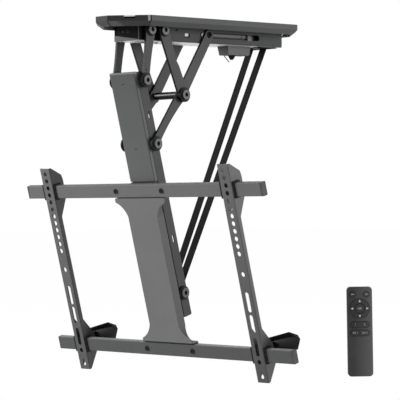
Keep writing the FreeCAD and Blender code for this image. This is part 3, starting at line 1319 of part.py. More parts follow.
def lock_lever(centre):
    hub_half = BRACKET_WIDTH / 2 - BRACKET_SHEET - LEVER_HUB_GAP
    pin_half = BRACKET_WIDTH / 2 + LOCK_PIN_PROUD
    w = LOCK_PIVOT_W
    v = -BAR_SPACING + LOCK_PIVOT_V
    hub = rod_x(w, v, LEVER_HUB_R, centre - hub_half, centre + hub_half)
    trunnion = rod_x(w, v, LOCK_PIN_R - PIVOT_CLEARANCE, centre - pin_half, centre + pin_half)
    stem = prism_x([(w - 4, v + 3), (w + 7, v), (w + 16, v + 12), (w + 10, v + 16)],
                   centre - hub_half, centre + hub_half)
    reach = LEVER_REACH
    # Two facets that meet on a ridge, wider towards the finger end
    lean_top = V(centre - hub_half, w + 13.5, v + 19)
    lean_low = V(centre - hub_half, w + 9.5, v + 2)
    ridge0 = V(centre - hub_half, w + 15.5, v + 11)
    top1 = V(centre + reach - 24, w + 15.5, v + 34)
    ridge1 = V(centre + reach - 10, w + 23.5, v + 26)
    tip1 = V(centre + reach, w + 17.5, v + 20)
    low1 = V(centre + reach - 3, w + 9.5, v + 2)
    thick = V(0, LEVER_THICK, 0)
    pieces = [hub, stem, trunnion]
    for triangle in ((lean_top, ridge0, top1), (ridge0, ridge1, top1), (ridge0, lean_low, ridge1),
                     (lean_low, low1, ridge1), (low1, tip1, ridge1), (tip1, top1, ridge1)):
        pieces.append(face_of(list(triangle)).extrude(thick))
    return fuse(pieces)


for label, centre in (("left", BRACKET_LEFT_X), ("right", BRACKET_RIGHT_X)):
    keep("bracket_" + label, on_mast(bracket(centre)))
    keep("bracket_inserts_" + label, [on_mast(piece) for piece in bracket_inserts(centre)])
    keep("lock_lever_" + label, on_mast(lock_lever(centre)))

# Handset, built facing -Y and then turned towards the viewer


def on_handset(shape):
    placed = shape.copy()
    placed.rotate(V(0, 0, 0), Z_AXIS, HANDSET_TURN)
    placed.translate(V(HANDSET_X, HANDSET_Y, HANDSET_Z))
    return placed


def round_key(x, v, radius, depth=KEY_DEPTH, proud=KEY_PROUD):
    return rod_y(x, v, radius, -proud, depth)


def pill(v, half, half_h, y0, y1):
    middle = block(-half + half_h, half - half_h, y0, y1, v - half_h, v + half_h)
    return fuse([middle] + [rod_y(side * (half - half_h), v, half_h, y0, y1) for side in (-1, 1)])


def handset_case():
    body = block(-HALF_W, HALF_W, 0, SHELL_SPLIT, -HALF_H, HALF_H)
    body = rounded_along(body, Y_AXIS, HANDSET_CORNER_R)
    body = body.makeFillet(HANDSET_FRONT_ROUND, [e for e in body.Edges if e.CenterOfMass.y < 0.01])
    depth = KEY_DEPTH + ROUND_WELL_DEPTH
    wells = [round_key(side * ROUND_KEY_X, ROUND_KEY_V, ROUND_KEY_R + KEY_GAP, depth, 1) for side in (-1, 1)]
    wells.append(round_key(0, RING_V, RING_R + KEY_GAP, depth, 1))
    for v in PILL_VS:
        wells.append(pill(v, PILL_HALF + KEY_GAP, PILL_HALF_H + KEY_GAP, -1, KEY_DEPTH + PILL_WELL_DEPTH))
    for well in wells:
        body = body.cut(well)
    return body


def handset_back():
    body = block(-HALF_W, HALF_W, SHELL_SPLIT, HANDSET_DEPTH, -HALF_H, HALF_H)
    body = rounded_along(body, Y_AXIS, HANDSET_CORNER_R)
    rear = [e for e in body.Edges if e.CenterOfMass.y > HANDSET_DEPTH - 0.01]
    return body.makeFillet(HANDSET_BACK_ROUND, rear)


keep("handset_case", on_handset(handset_case()))
keep("handset_back", on_handset(handset_back()))
keep("key_top_left", on_handset(round_key(-ROUND_KEY_X, ROUND_KEY_V, ROUND_KEY_R)))
keep("key_top_right", on_handset(round_key(ROUND_KEY_X, ROUND_KEY_V, ROUND_KEY_R)))
ring = round_key(0, RING_V, RING_R).cut(round_key(0, RING_V, RING_INNER_R, KEY_DEPTH + 1, 2))
keep("key_ring", on_handset(ring))
keep("key_ok", on_handset(round_key(0, RING_V, OK_KEY_R)))
for number, v in enumerate(PILL_VS, 1):
    keep("key_rocker_%d" % number, on_handset(pill(v, PILL_HALF, PILL_HALF_H, -KEY_PROUD, KEY_DEPTH)))

os.makedirs("parts", exist_ok=True)
for name, shape in NODES.items():
    shape.exportStep("parts/%s.step" % name)
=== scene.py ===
import math

import bmesh
import bpy
from mathutils import Matrix, Vector

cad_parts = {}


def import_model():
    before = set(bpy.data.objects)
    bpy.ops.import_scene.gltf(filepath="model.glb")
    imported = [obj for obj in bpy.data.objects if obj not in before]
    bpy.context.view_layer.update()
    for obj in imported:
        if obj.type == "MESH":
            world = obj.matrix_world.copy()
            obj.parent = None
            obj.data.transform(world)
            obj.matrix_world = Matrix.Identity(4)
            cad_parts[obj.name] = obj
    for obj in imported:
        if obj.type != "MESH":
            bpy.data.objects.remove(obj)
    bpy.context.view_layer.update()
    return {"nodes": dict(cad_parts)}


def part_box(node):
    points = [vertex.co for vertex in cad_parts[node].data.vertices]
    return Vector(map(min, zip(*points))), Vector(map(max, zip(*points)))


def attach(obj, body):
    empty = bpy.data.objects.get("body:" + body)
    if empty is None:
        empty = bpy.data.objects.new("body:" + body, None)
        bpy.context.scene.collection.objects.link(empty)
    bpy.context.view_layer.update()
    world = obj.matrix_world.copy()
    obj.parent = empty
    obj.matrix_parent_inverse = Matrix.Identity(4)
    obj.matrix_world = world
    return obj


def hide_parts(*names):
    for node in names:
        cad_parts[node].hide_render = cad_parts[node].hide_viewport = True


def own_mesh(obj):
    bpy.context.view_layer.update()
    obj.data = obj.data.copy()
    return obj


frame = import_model()
nodes = frame["nodes"]
scene = bpy.context.scene

# Camera of the product shot
CAM_LENS = 176.35
CAM_SENSOR = 36.0
CAM_NEAR = 0.05
CAM_FAR = 60.0
CAM_RIGHT = Vector((0.71906323, 0.69471372, -0.01791395))
CAM_UP = Vector((0.00633754, 0.01922114, 0.99979517))
CAM_BACK = Vector((0.69491575, -0.71902948, 0.00941844))
CAM_PLACE = Vector((2.78435, -2.88978, -0.32529))

# Places on the pieces where their coat and its painted light and shade change, in metres in the shared frame
SHADOW_END_Y = -0.1500
SHADOW_END_FADE = 0.0020
FRONT_FOLD_X = (0.0325, 0.0342)
FRONT_FOLD_Y = -0.2070
FRONT_FOLD_FADE = 0.0010
UNDERSIDE_Z = -0.0446
UNDERSIDE_FADE = 0.0001
PANEL_FOOT_Z = -0.6484
PANEL_SHADOW_LINE = 0.0016
TRAY_BEVEL_Z = -0.0112
TRAY_BEVEL_FADE = 0.0002
TRAY_INNER_X = 0.0755
TRAY_INNER_Y = 0.2735
TRAY_INNER_CORNER = 0.2900
TRAY_GLINT_X = 0.0260
TRAY_GLINT_FADE = 0.0080
TRAY_FOLD_X = (0.0726, 0.0756)
TRAY_FOLD_Y = -0.2155
TRAY_FOLD_FADE = 0.0005
COVER_HIGHLIGHT_LOW = 0.0042
COVER_HIGHLIGHT_HIGH = 0.0012
LINE_FADE = 0.0004

# Directions, along one axis, at which a mark on a coat starts and at which it is full
CUT_FACE = (0.45, 0.6)
SIDE_FACE = (0.5, 0.7)
UNDER_FACE = (-0.9, -0.7)
TOP_FACE = (0.6, 0.8)
NEAR_FACE = (-0.6, -0.4)
NOSE_FACE = (-0.97, -0.93)
SLANT_NEAR = (-0.5, -0.3)
SLANT_RIGHT = (0.2, 0.3)
INWARD_FACE = (0.3, 0.4)
BEVEL_UPWARD = (0.15, 0.25)
EDGE_TURN = (0.90, 0.995)
WHOLE_TURN = (-1.0, 1.0)
FORWARD_SHARE = 0.3

# Greys of the coats' marks, most of them painted light and shade, the plain tint, and the number of rays that
# find an edge
SHADOW_LINE_BLACK = 0.004
SHADOW_BLACK = 0.002
TRAY_FOLD_HIGHLIGHT = 0.45
FRONT_FOLD_HIGHLIGHT = 0.14
BARE_INSIDE = 0.65
BEVEL_PAINTED_LIGHT = 0.95
BRIGHTEST_EDGE = 0.8
NOSE_SHARE = 0.2
GLINT_SHARE = 4.5
PLAIN = (1.0, 1.0, 1.0)
BEVEL_SAMPLES = 6

# Fine lines round the turned steel rods
ROD_SCALE = 900.0
ROD_STRETCH = (0.02, 1.0, 1.0)

# Lifting straps, between the drum and the mast's foot
STRAP_WIDTH = 0.019
STRAP_THICK = 0.0012
STRAP_TOP_X = 0.019
STRAP_LOW_X = 0.0105
STRAP_LOW = Vector((0.0, -0.096181, -0.559864))
STRAP_HIGH = Vector((0.0, 0.181708, -0.029035))
STRAP_COLUMNS = 12
STRAP_EDGE_THINNER = 0.55
STRAP_EDGE_POWER = 6
RIB_STEP = 0.0045
THREAD_SCALE = 2.4
DARK_EDGE_SPAN = (1.2, 2.0)

# Painted shadow: dark hexagons in the bolts' sockets: label, y, z, distance from the middle plane, body
SOCKET_SHADOWS = (
    ("a", -0.1835, -0.0250, 0.0461, "base"),
    ("b", -0.1495, -0.0250, 0.0489, "base"),
    ("c", -0.2000, -0.1247, 0.0470, "front_arms"),
    ("d", -0.0976, -0.1517, 0.0516, "rear_arms"),
    ("e", -0.173521, -0.249089, 0.0463, "mast"),
    ("f", -0.099251, -0.546970, 0.0414, "mast"),
)
SOCKET_RADIUS = 0.0045
SOCKET_FILL = 0.0005

# Guide pins, what lies round them on the housing's sides, the painted shadows of the slots' front ends, and
# the switches behind its window
PIN_Y = -0.0144
PIN_Z = -0.0290
PIN_FACE = 0.0418
HOUSING_FACE = 0.0350
RING_INNER = 0.0028
RING_OUTER = 0.0060
RING_THICK = 0.0003
RING_START = math.radians(-15.0)
RING_SWEEP = math.radians(285.0)
RING_STEPS = 40
SLOT_END_FRONT = -0.0358
SLOT_END_REAR = -0.0292
SLOT_END_HALF = 0.0062
SLOT_END_THICK = 0.0001
GLIDE_FRONT = -0.0325
GLIDE_REAR = -0.0288
GLIDE_HALF = 0.0047
GLIDE_LOW = 0.0002
GLIDE_HIGH = 0.0005
ROUND_END_STEPS = 18
SWITCH_X = (0.0265, 0.0324)
SWITCH_LOW = (-0.0852, -0.0335)
SWITCH_HIGH = (-0.0668, -0.0262)
SWITCH_ROUND = 0.0008

# Handset and its printed legends: name, words, size, x, z, body
HANDSET_PLACE = Vector((0.4956, -0.1052, -0.6060))
HANDSET_TURN = math.radians(44.0)
HANDSET_SHADE = (-0.012, 0.024)
KEY_FACE = -0.0009
PRINT_THICK = 0.00012
RING_Z = 0.0426
ARROW_AT = 0.0135
ARROW = 0.0026
ARROW_POINT = 1.15
ARROW_SPREAD = 2.2
LEGENDS = (
    ("legend_ok", "OK", 0.0052, 0.0, RING_Z, "button_ok"),
    ("legend_1", "1", 0.0050, -0.0086, 0.0130, "button_rocker_1"),
    ("legend_2", "2", 0.0050, 0.0086, 0.0130, "button_rocker_1"),
    ("legend_set_1", "SET 1", 0.0042, -0.0088, -0.0022, "button_rocker_2"),
    ("legend_set_2", "SET 2", 0.0042, 0.0088, -0.0022, "button_rocker_2"),
    ("legend_on", "ON", 0.0040, -0.0127, 0.0686, "button_top_left"),
    ("legend_off", "OFF", 0.0036, 0.0127, 0.0686, "button_top_right"),
)

# Floor, ambient light, and lamps: name, place, aim, size, watts
FLOOR_REACH = 12.0
FLOOR_Z = -0.80
FLOOR_GREY = 0.85
FLOOR_WHITE = 0.985
AMBIENT = 0.34
LAMPS = (
    ("key", (-3.4, -2.5, 1.0), (0.0, -0.15, -0.35), 1.6, 140.0),
    ("side", (3.3, 2.2, 0.4), (0.0, -0.05, -0.35), 1.6, 80.0),
    ("back", (-1.6, 2.6, 1.2), (0.0, 0.0, -0.35), 1.4, 20.0),
)


def place_camera():
    data = bpy.data.cameras.new("camera")
    data.sensor_width = CAM_SENSOR
    data.sensor_fit = "HORIZONTAL"
    data.lens = CAM_LENS
    data.clip_start = CAM_NEAR
    data.clip_end = CAM_FAR
    camera = bpy.data.objects.new("camera", data)
    scene.collection.objects.link(camera)
    pose = Matrix((CAM_RIGHT, CAM_UP, CAM_BACK)).transposed().to_4x4()
    pose.translation = CAM_PLACE
    camera.matrix_world = pose
    scene.camera = camera


place_camera()
scene.view_settings.view_transform = "Standard"


# Nodes that work out a value
def reckon(tree, operation, first, second=None):
    # One step of arithmetic on values that are sockets or plain numbers
    node = tree.nodes.new("ShaderNodeMath")
    node.operation = operation
    for entry, value in zip(node.inputs, (first, second)):
        if isinstance(value, bpy.types.NodeSocket):
            tree.links.new(value, entry)
        elif value is not None:
            entry.default_value = value
    return node.outputs["Value"]


def product(tree, first, *others):
    for other in others:
        first = reckon(tree, "MULTIPLY", first, other)
    return first


def inverse(tree, value):
    return reckon(tree, "SUBTRACT", 1.0, value)


def under(tree, value, limit):
    return reckon(tree, "LESS_THAN", value, limit)


def own_axis(tree, kind, axis):
    # The place ("Object") or the surface's direction ("Normal") along one of the object's own axes
    coords = tree.nodes.new("ShaderNodeTexCoord")
    split = tree.nodes.new("ShaderNodeSeparateXYZ")
    tree.links.new(coords.outputs[kind], split.inputs["Vector"])
    return split.outputs[axis]


def share_of(tree, value, low, high):
    # 0 where the value is below low, 1 where it is above high
    share = tree.nodes.new("ShaderNodeMapRange")
    share.inputs["From Min"].default_value = low
    share.inputs["From Max"].default_value = high
    tree.links.new(value, share.inputs["Value"])
    return share.outputs["Result"]


def beyond(tree, axis, limit, fade):
    # 0 before the limit along the axis, 1 past it
    return share_of(tree, own_axis(tree, "Object", axis), limit, limit + fade)


def before(tree, axis, limit, fade):
    return inverse(tree, beyond(tree, axis, limit, fade))


def between(tree, axis, low, high):
    # 1 from low to high along the axis
    return product(tree, beyond(tree, axis, low - LINE_FADE, LINE_FADE), before(tree, axis, high, LINE_FADE))


def turned(tree, axis, low, high):
    # 0 where the surface's direction lies below low along the axis, 1 above high
    return share_of(tree, own_axis(tree, "Normal", axis), low, high)


def turned_from(tree, axis, low, high):
    return inverse(tree, turned(tree, axis, low, high))


def facing(tree, axis):
    # How far the surface faces the axis, either way, from 0 to 1
    return reckon(tree, "ABSOLUTE", own_axis(tree, "Normal", axis))


def spread(tree, axis):
    # Distance from the middle of the object along the axis
    return reckon(tree, "ABSOLUTE", own_axis(tree, "Object", axis))


def across_handset(tree, low, high):
    # 0 at the handset's left part and 1 at its right part
    coords = tree.nodes.new("ShaderNodeTexCoord")
    turn = tree.nodes.new("ShaderNodeVectorMath")
    turn.operation = "DOT_PRODUCT"
    turn.inputs[1].default_value = (math.cos(HANDSET_TURN), math.sin(HANDSET_TURN), 0.0)
    tree.links.new(coords.outputs["Object"], turn.inputs[0])
    middle = HANDSET_PLACE.x * math.cos(HANDSET_TURN) + HANDSET_PLACE.y * math.sin(HANDSET_TURN)
    return share_of(tree, turn.outputs["Value"], middle + low, middle + high)


# Nodes that give a colour or a relief
def grey(value, tint=PLAIN):
    return tuple(value * t for t in tint)


def noise(tree, scale, detail=4.0, roughness=0.5, stretch=None):
    coords = tree.nodes.new("ShaderNodeTexCoord")
    texture = tree.nodes.new("ShaderNodeTexNoise")
    texture.inputs["Scale"].default_value = scale
    texture.inputs["Detail"].default_value = detail
    texture.inputs["Roughness"].default_value = roughness
    source = coords.outputs["Object"]
    if stretch:
        mapping = tree.nodes.new("ShaderNodeMapping")
        mapping.inputs["Scale"].default_value = stretch
        tree.links.new(source, mapping.inputs["Vector"])
        source = mapping.outputs["Vector"]
    tree.links.new(source, texture.inputs["Vector"])
    return texture.outputs["Fac"]


def colour_stops(tree, source, stops):
    # A ramp through any number of stops, each a place from 0 to 1 and a colour
    node = tree.nodes.new("ShaderNodeValToRGB")
    elements = node.color_ramp.elements
    while len(elements) < len(stops):
        elements.new(0.5)
    for element, (place, colour) in zip(elements, stops):
        element.position = place
        element.color = (*colour, 1.0)
    tree.links.new(source, node.inputs["Fac"])
    return node.outputs["Color"]


def ramp(tree, source, c_low, c_high, low=0.3, high=0.7):
    return colour_stops(tree, source, ((low, c_low), (high, c_high)))


def multiplied(tree, first, second, share=1.0):
    mix = tree.nodes.new("ShaderNodeMixRGB")
    mix.blend_type = "MULTIPLY"
    mix.inputs["Fac"].default_value = share
    tree.links.new(first, mix.inputs["Color1"])
    tree.links.new(second, mix.inputs["Color2"])
    return mix.outputs["Color"]


def paint_over(tree, colour, mask, level, tint=PLAIN):
    mix = tree.nodes.new("ShaderNodeMixRGB")
    tree.links.new(mask, mix.inputs["Fac"])
    tree.links.new(colour, mix.inputs["Color1"])
    mix.inputs["Color2"].default_value = (*grey(level, tint), 1.0)
    return mix.outputs["Color"]


def eased(tree, radius):
    # The surface's direction, rounded off near an edge
    bevel = tree.nodes.new("ShaderNodeBevel")
    bevel.samples = BEVEL_SAMPLES
    bevel.inputs["Radius"].default_value = radius
    return bevel.outputs["Normal"]


def along_edges(tree, radius):
    # 1 on edges and 0 on flat faces
    surface = tree.nodes.new("ShaderNodeNewGeometry")
    turn = tree.nodes.new("ShaderNodeVectorMath")
    turn.operation = "DOT_PRODUCT"
    tree.links.new(eased(tree, radius), turn.inputs[0])
    tree.links.new(surface.outputs["Normal"], turn.inputs[1])
    return ramp(tree, turn.outputs["Value"], grey(1.0), grey(0.0), *EDGE_TURN)


def bump(tree, shader, height, strength, distance, edge=0.0):
    node = tree.nodes.new("ShaderNodeBump")
    node.inputs["Strength"].default_value = strength
    node.inputs["Distance"].default_value = distance
    tree.links.new(height, node.inputs["Height"])
    if edge:
        tree.links.new(eased(tree, edge), node.inputs["Normal"])
    tree.links.new(node.outputs["Normal"], shader.inputs["Normal"])


def roughness(tree, shader, source, low, high):
    tree.links.new(ramp(tree, source, grey(low), grey(high)), shader.inputs["Roughness"])


# Marks, most of them painted light and shade, that one piece's coat has and others lack, each on top of the
# coat so far
def shaded_plate_edges(tree, colour, level, shader):
    # Laser-cut plate: painted shade darkens the narrow edges, paint on the two broad faces
    return paint_over(tree, colour, ramp(tree, facing(tree, "X"), grey(1.0), grey(0.0), *CUT_FACE), level)


def painted_side_shading(tree, colour, level, shader=None):
    # Painted light and shade: the sides have another grey than the face between them
    return paint_over(tree, colour, ramp(tree, facing(tree, "X"), grey(0.0), grey(1.0), *SIDE_FACE), level)


def painted_shadow_front(tree, colour, level, shader):
    # Painted shadow: the housing is black from its front end to the rear arms' pivot, but for a painted
    # highlight on its front fold
    colour = paint_over(tree, colour, before(tree, "Y", SHADOW_END_Y, SHADOW_END_FADE), level)
    forward = under(tree, turned(tree, "Y", *WHOLE_TURN), FORWARD_SHARE)
    fold = product(tree, forward, between(tree, "X", *FRONT_FOLD_X),
                   before(tree, "Y", FRONT_FOLD_Y, FRONT_FOLD_FADE))
    return paint_over(tree, colour, fold, FRONT_FOLD_HIGHLIGHT)


def bright_under(tree, colour, level, shader):
    # The bottom sheet's underside is bare, bright metal
    bare = product(tree, before(tree, "Z", UNDERSIDE_Z, UNDERSIDE_FADE), turned_from(tree, "Z", *UNDER_FACE))
    tree.links.new(bare, shader.inputs["Metallic"])
    return paint_over(tree, colour, bare, level)


def panel_painted_shade(tree, colour, level, shader):
    # Painted shade: the panel's side flanges are darker, and a painted shadow line runs along its lower edge
    colour = painted_side_shading(tree, colour, level)
    line = between(tree, "Z", PANEL_FOOT_Z, PANEL_FOOT_Z + PANEL_SHADOW_LINE)
    return paint_over(tree, colour, line, SHADOW_LINE_BLACK)


def painted_light_on_top(tree, colour, level, shader):
    # Painted light: the bar's upward side is paler than its front
    return paint_over(tree, colour, turned(tree, "Z", *TOP_FACE), level)


def cover_painted_highlight(tree, colour, level, shader):
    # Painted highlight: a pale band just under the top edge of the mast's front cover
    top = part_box("mast_front_cover")[1][2]
    return paint_over(tree, colour, between(tree, "Z", top - COVER_HIGHLIGHT_LOW, top - COVER_HIGHLIGHT_HIGH), level)


def tray_painted_light_shade_and_metal(tree, colour, level, shader):
    across = spread(tree, "X")
    length = spread(tree, "Y")
    upright = beyond(tree, "Z", TRAY_BEVEL_Z, TRAY_BEVEL_FADE)
    bevel = inverse(tree, upright)
    # Painted shade: the near end is darker, and its nose is darker still
    near = turned_from(tree, "Y", *NEAR_FACE)
    colour = paint_over(tree, colour, product(tree, near, upright), level)
    nose = turned_from(tree, "Y", *NOSE_FACE)
    colour = paint_over(tree, colour, product(tree, nose, upright), level * NOSE_SHARE)
    # Painted shade darkens the near corner's bevel, with a painted glint towards the nose
    slant = product(tree, turned_from(tree, "Y", *SLANT_NEAR), turned(tree, "X", *SLANT_RIGHT), bevel)
    glint = product(tree, slant, before(tree, "X", TRAY_GLINT_X, TRAY_GLINT_FADE))
    colour = paint_over(tree, colour, slant, level)
    colour = paint_over(tree, colour, glint, level * GLINT_SHARE)
    # Painted highlight on the near corner's fold
    fold = product(tree, between(tree, "X", *TRAY_FOLD_X),
                   before(tree, "Y", TRAY_FOLD_Y, TRAY_FOLD_FADE), upright)
    colour = paint_over(tree, colour, fold, TRAY_FOLD_HIGHLIGHT)
    # Painted shadow makes the hollow black, and the rim's inward side is bare metal
    inner = product(tree, under(tree, across, TRAY_INNER_X), under(tree, length, TRAY_INNER_Y),
                    under(tree, reckon(tree, "ADD", across, length), TRAY_INNER_CORNER), upright)
    colour = paint_over(tree, colour, inner, SHADOW_BLACK)
    inward = product(tree, inner, turned(tree, "X", *INWARD_FACE))
    tree.links.new(inward, shader.inputs["Metallic"])
    colour = paint_over(tree, colour, inward, BARE_INSIDE)
    # Painted light makes the upward sides of the bevel near white
    return paint_over(tree, colour, product(tree, turned(tree, "Z", *BEVEL_UPWARD), bevel), BEVEL_PAINTED_LIGHT)


# Materials
def new_material(name):
    material = bpy.data.materials.new(name)
    material.use_nodes = True
    tree = material.node_tree
    tree.nodes.clear()
    out = tree.nodes.new("ShaderNodeOutputMaterial")
    shader = tree.nodes.new("ShaderNodeBsdfPrincipled")
    tree.links.new(shader.outputs["BSDF"], out.inputs["Surface"])
    return material, tree, shader


def powder_coat(name, level, tint=(0.985, 1.0, 1.02), rough=0.55, edge=0.0007, fade=None, edge_highlight=1.9,
                specular=0.25, extra=None, extra_level=0.0):
    # Grainy paint with a painted highlight along folded and cut edges
    material, tree, shader = new_material(name)
    cloud = noise(tree, scale=9.0, detail=5.0, roughness=0.6)
    grain = noise(tree, scale=900.0, detail=2.0)
    colour = ramp(tree, cloud, grey(level * 0.93, tint), grey(level * 1.07, tint))
    if fade:
        # Painted shade that changes from the piece's foot to its top
        low_z, high_z, low_level, high_level = fade
        height = share_of(tree, own_axis(tree, "Object", "Z"), low_z, high_z)
        shade = ramp(tree, height, grey(low_level), grey(high_level), low=0.0, high=1.0)
        colour = multiplied(tree, colour, shade)
    speckle = ramp(tree, grain, grey(0.82), grey(1.0), low=0.35, high=0.7)
    colour = multiplied(tree, colour, speckle, share=0.35)
    # Painted highlight along the folded and cut edges
    colour = paint_over(tree, colour, along_edges(tree, edge), min(level * edge_highlight, BRIGHTEST_EDGE), tint)
    if extra:
        colour = extra(tree, colour, extra_level, shader)
    tree.links.new(colour, shader.inputs["Base Color"])
    shader.inputs["Specular IOR Level"].default_value = specular
    roughness(tree, shader, cloud, rough - 0.05, rough + 0.06)
    bump(tree, shader, grain, strength=0.25, distance=0.0003, edge=edge)
    return material


def moulded(name, level, rough=0.5, grain_scale=1400.0, edge=0.0005, specular=0.25,
            side_shading_level=0.0, right_light_level=0.0, outline=0.0):
    # Plastic with a fine grain, with painted light and shade where asked
    material, tree, shader = new_material(name)
    grain = noise(tree, grain_scale, detail=3.0, roughness=0.6)
    cloud = noise(tree, scale=30.0, detail=3.0)
    colour = ramp(tree, cloud, grey(level * 0.9), grey(level * 1.1))
    # Painted light and shade on the sides
    if side_shading_level:
        colour = painted_side_shading(tree, colour, side_shading_level)
    # Painted light: the handset's right part is paler
    if right_light_level:
        colour = paint_over(tree, colour, across_handset(tree, *HANDSET_SHADE), right_light_level)
    # Painted shadow: a black line along the edges, in the gaps round the keys
    if outline:
        colour = paint_over(tree, colour, along_edges(tree, outline), SHADOW_BLACK)
    tree.links.new(colour, shader.inputs["Base Color"])
    shader.inputs["Specular IOR Level"].default_value = specular
    roughness(tree, shader, grain, rough - 0.06, rough + 0.06)
    bump(tree, shader, grain, strength=0.3, distance=0.0002, edge=edge)
    return material


def steel(name, level, rough=0.3, stretch=PLAIN, scale=500.0, edge=0.0005):
    material, tree, shader = new_material(name)
    lines = noise(tree, scale, roughness=0.6, stretch=stretch)
    tree.links.new(ramp(tree, lines, grey(level * 0.85), grey(level * 1.1)), shader.inputs["Base Color"])
    shader.inputs["Metallic"].default_value = 1.0
    roughness(tree, shader, lines, rough - 0.07, rough + 0.1)
    bump(tree, shader, lines, strength=0.15, distance=0.0002, edge=edge)
    return material


def rod_with_painted_bands(name, stops):
    # Polished steel rod with painted reflections: bright and dark bands from its underside to its top
    material, tree, shader = new_material(name)
    lines = noise(tree, ROD_SCALE, roughness=0.6, stretch=ROD_STRETCH)
    greys = [(place, grey(value)) for place, value in stops]
    bands = colour_stops(tree, turned(tree, "Z", *WHOLE_TURN), greys)
    tree.links.new(bands, shader.inputs["Base Color"])
    shader.inputs["Metallic"].default_value = 1.0
    roughness(tree, shader, lines, 0.36, 0.46)
    bump(tree, shader, lines, strength=0.1, distance=0.0001)
    return material


def webbing(name, level):
    # Plain weave, darker along both edges
    material, tree, shader = new_material(name)
    coords = tree.nodes.new("ShaderNodeUVMap")
    coords.uv_map = "weave"
    threads = []
    for direction in ("X", "Y"):
        wave = tree.nodes.new("ShaderNodeTexWave")
        wave.bands_direction = direction
        wave.inputs["Scale"].default_value = THREAD_SCALE
        tree.links.new(coords.outputs["UV"], wave.inputs["Vector"])
        threads.append(wave.outputs["Fac"])
    both = product(tree, *threads)
    colour = ramp(tree, both, grey(level * 0.6), grey(level * 1.5), low=0.1, high=0.8)
    split = tree.nodes.new("ShaderNodeSeparateXYZ")
    tree.links.new(coords.outputs["UV"], split.inputs["Vector"])
    column = reckon(tree, "PINGPONG", split.outputs["X"], STRAP_COLUMNS / 2)
    darker_edges = inverse(tree, share_of(tree, column, *DARK_EDGE_SPAN))
    tree.links.new(paint_over(tree, colour, darker_edges, level * 0.1), shader.inputs["Base Color"])
    shader.inputs["Roughness"].default_value = 0.85
    shader.inputs["Specular IOR Level"].default_value = 0.15
    shader.inputs["Sheen Weight"].default_value = 0.04
    bump(tree, shader, both, strength=0.5, distance=0.0003)
    return material


def lens(name, colour, strength):
    material, tree, shader = new_material(name)
    cells = noise(tree, scale=600.0, detail=2.0)
    tint = ramp(tree, cells, tuple(c * 0.8 for c in colour), colour)
    tree.links.new(tint, shader.inputs["Base Color"])
    tree.links.new(tint, shader.inputs["Emission Color"])
    shader.inputs["Emission Strength"].default_value = strength
    shader.inputs["Roughness"].default_value = 0.15
    return material


# Painted shade: the fades darken the cover towards its top and the brackets towards their foot
COVER_COAT = powder_coat("coat_cover", 0.148, (0.97, 1.0, 1.01), fade=(-0.36, -0.12, 1.0, 0.63),
                         edge=0.0006, edge_highlight=2.5, extra=cover_painted_highlight, extra_level=0.24)
MAST_COAT = powder_coat("coat_mast", 0.048)
PANEL_COAT = powder_coat("coat_panel", 0.185, (1.0, 0.99, 1.01), extra=panel_painted_shade, extra_level=0.10)
BAR_COAT = powder_coat("coat_bar_upper", 0.160, PLAIN)
# Painted shade: the lower bar's coat is a darker copy of the upper bar's
SHADED_LOW_BAR_COAT = powder_coat("coat_bar_lower_shaded", 0.098, (0.98, 1.0, 1.01), extra=painted_light_on_top, extra_level=0.24)
BRACKET_COAT = powder_coat("coat_bracket", 0.145, PLAIN, fade=(-0.70, -0.35, 0.62, 1.0))
# Painted shade: the left bracket's coat is a shaded copy of the right one's, with darker side flanges
SHADED_LEFT_BRACKET_COAT = powder_coat("coat_bracket_left_shaded", 0.150, PLAIN, fade=(-0.70, -0.35, 0.70, 1.0),
                                extra=painted_side_shading, extra_level=0.045)
ARM_COAT = powder_coat("coat_arms", 0.048, extra=shaded_plate_edges, extra_level=0.004)
TRAY_COAT = powder_coat("coat_tray", 0.070, extra=tray_painted_light_shade_and_metal, extra_level=0.035)
CHANNEL_COAT = powder_coat("coat_channel", 0.085, extra=painted_shadow_front, extra_level=0.003, rough=0.7,
                           specular=0.1)
COVER_PLATE_COAT = powder_coat("coat_bottom_cover", 0.085, extra=bright_under, extra_level=0.93)
CAP_COAT = powder_coat("coat_cap", 0.006, rough=0.8, edge_highlight=1.2, specular=0.1)
BLACK_PLASTIC = moulded("plastic_black", 0.004, rough=0.6, specular=0.2)
INSERT_PLASTIC = moulded("plastic_insert", 0.004, rough=0.65, specular=0.2)
# Black for the receiver clip and the retaining rings, and painted shadow for the sockets and the slots' ends
BLACK_PARTS_AND_SHADOWS = moulded("black_parts_and_shadows", 0.002, rough=0.7, specular=0.1)
GREY_PLASTIC = moulded("plastic_grey", 0.075, rough=0.6)
NYLON = moulded("nylon_white", 0.78, rough=0.4)
BOX_PLASTIC = moulded("plastic_box", 0.065, rough=0.6, side_shading_level=0.115)
BOLT_STEEL = steel("steel_bolts", 0.072, rough=0.5)
ROD_STEEL = steel("steel_rod", 0.25, rough=0.22, stretch=ROD_STRETCH, scale=ROD_SCALE)
ROD_PAINTED_BANDS = rod_with_painted_bands("steel_rod_painted_bands", (
    (0.0, 0.001), (0.22, 0.002), (0.30, 0.035), (0.40, 0.035), (0.46, 0.006),
    (0.54, 0.055), (0.66, 0.070), (0.76, 0.008), (0.9, 0.002)))
MOTOR_STEEL = steel("steel_motor", 0.11, rough=0.5)
DARK_STEEL = steel("steel_dark", 0.03, rough=0.5)
PIN_BLACK = moulded("pin_black", 0.006, specular=0.2)
SOCKET_RIM = moulded("socket_rim", 0.020)
WEBBING = webbing("strap_weave", 0.014)
LED_RED = lens("led_red", (0.40, 0.05, 0.09), strength=0.15)
HANDSET_SHELL = moulded("handset_shell", 0.052, grain_scale=2200.0, right_light_level=0.15)
HANDSET_KEY = moulded("handset_keys", 0.034, grain_scale=2200.0, right_light_level=0.075, outline=0.0009)
PRINT_WHITE = moulded("print_white", 0.85, rough=0.6)

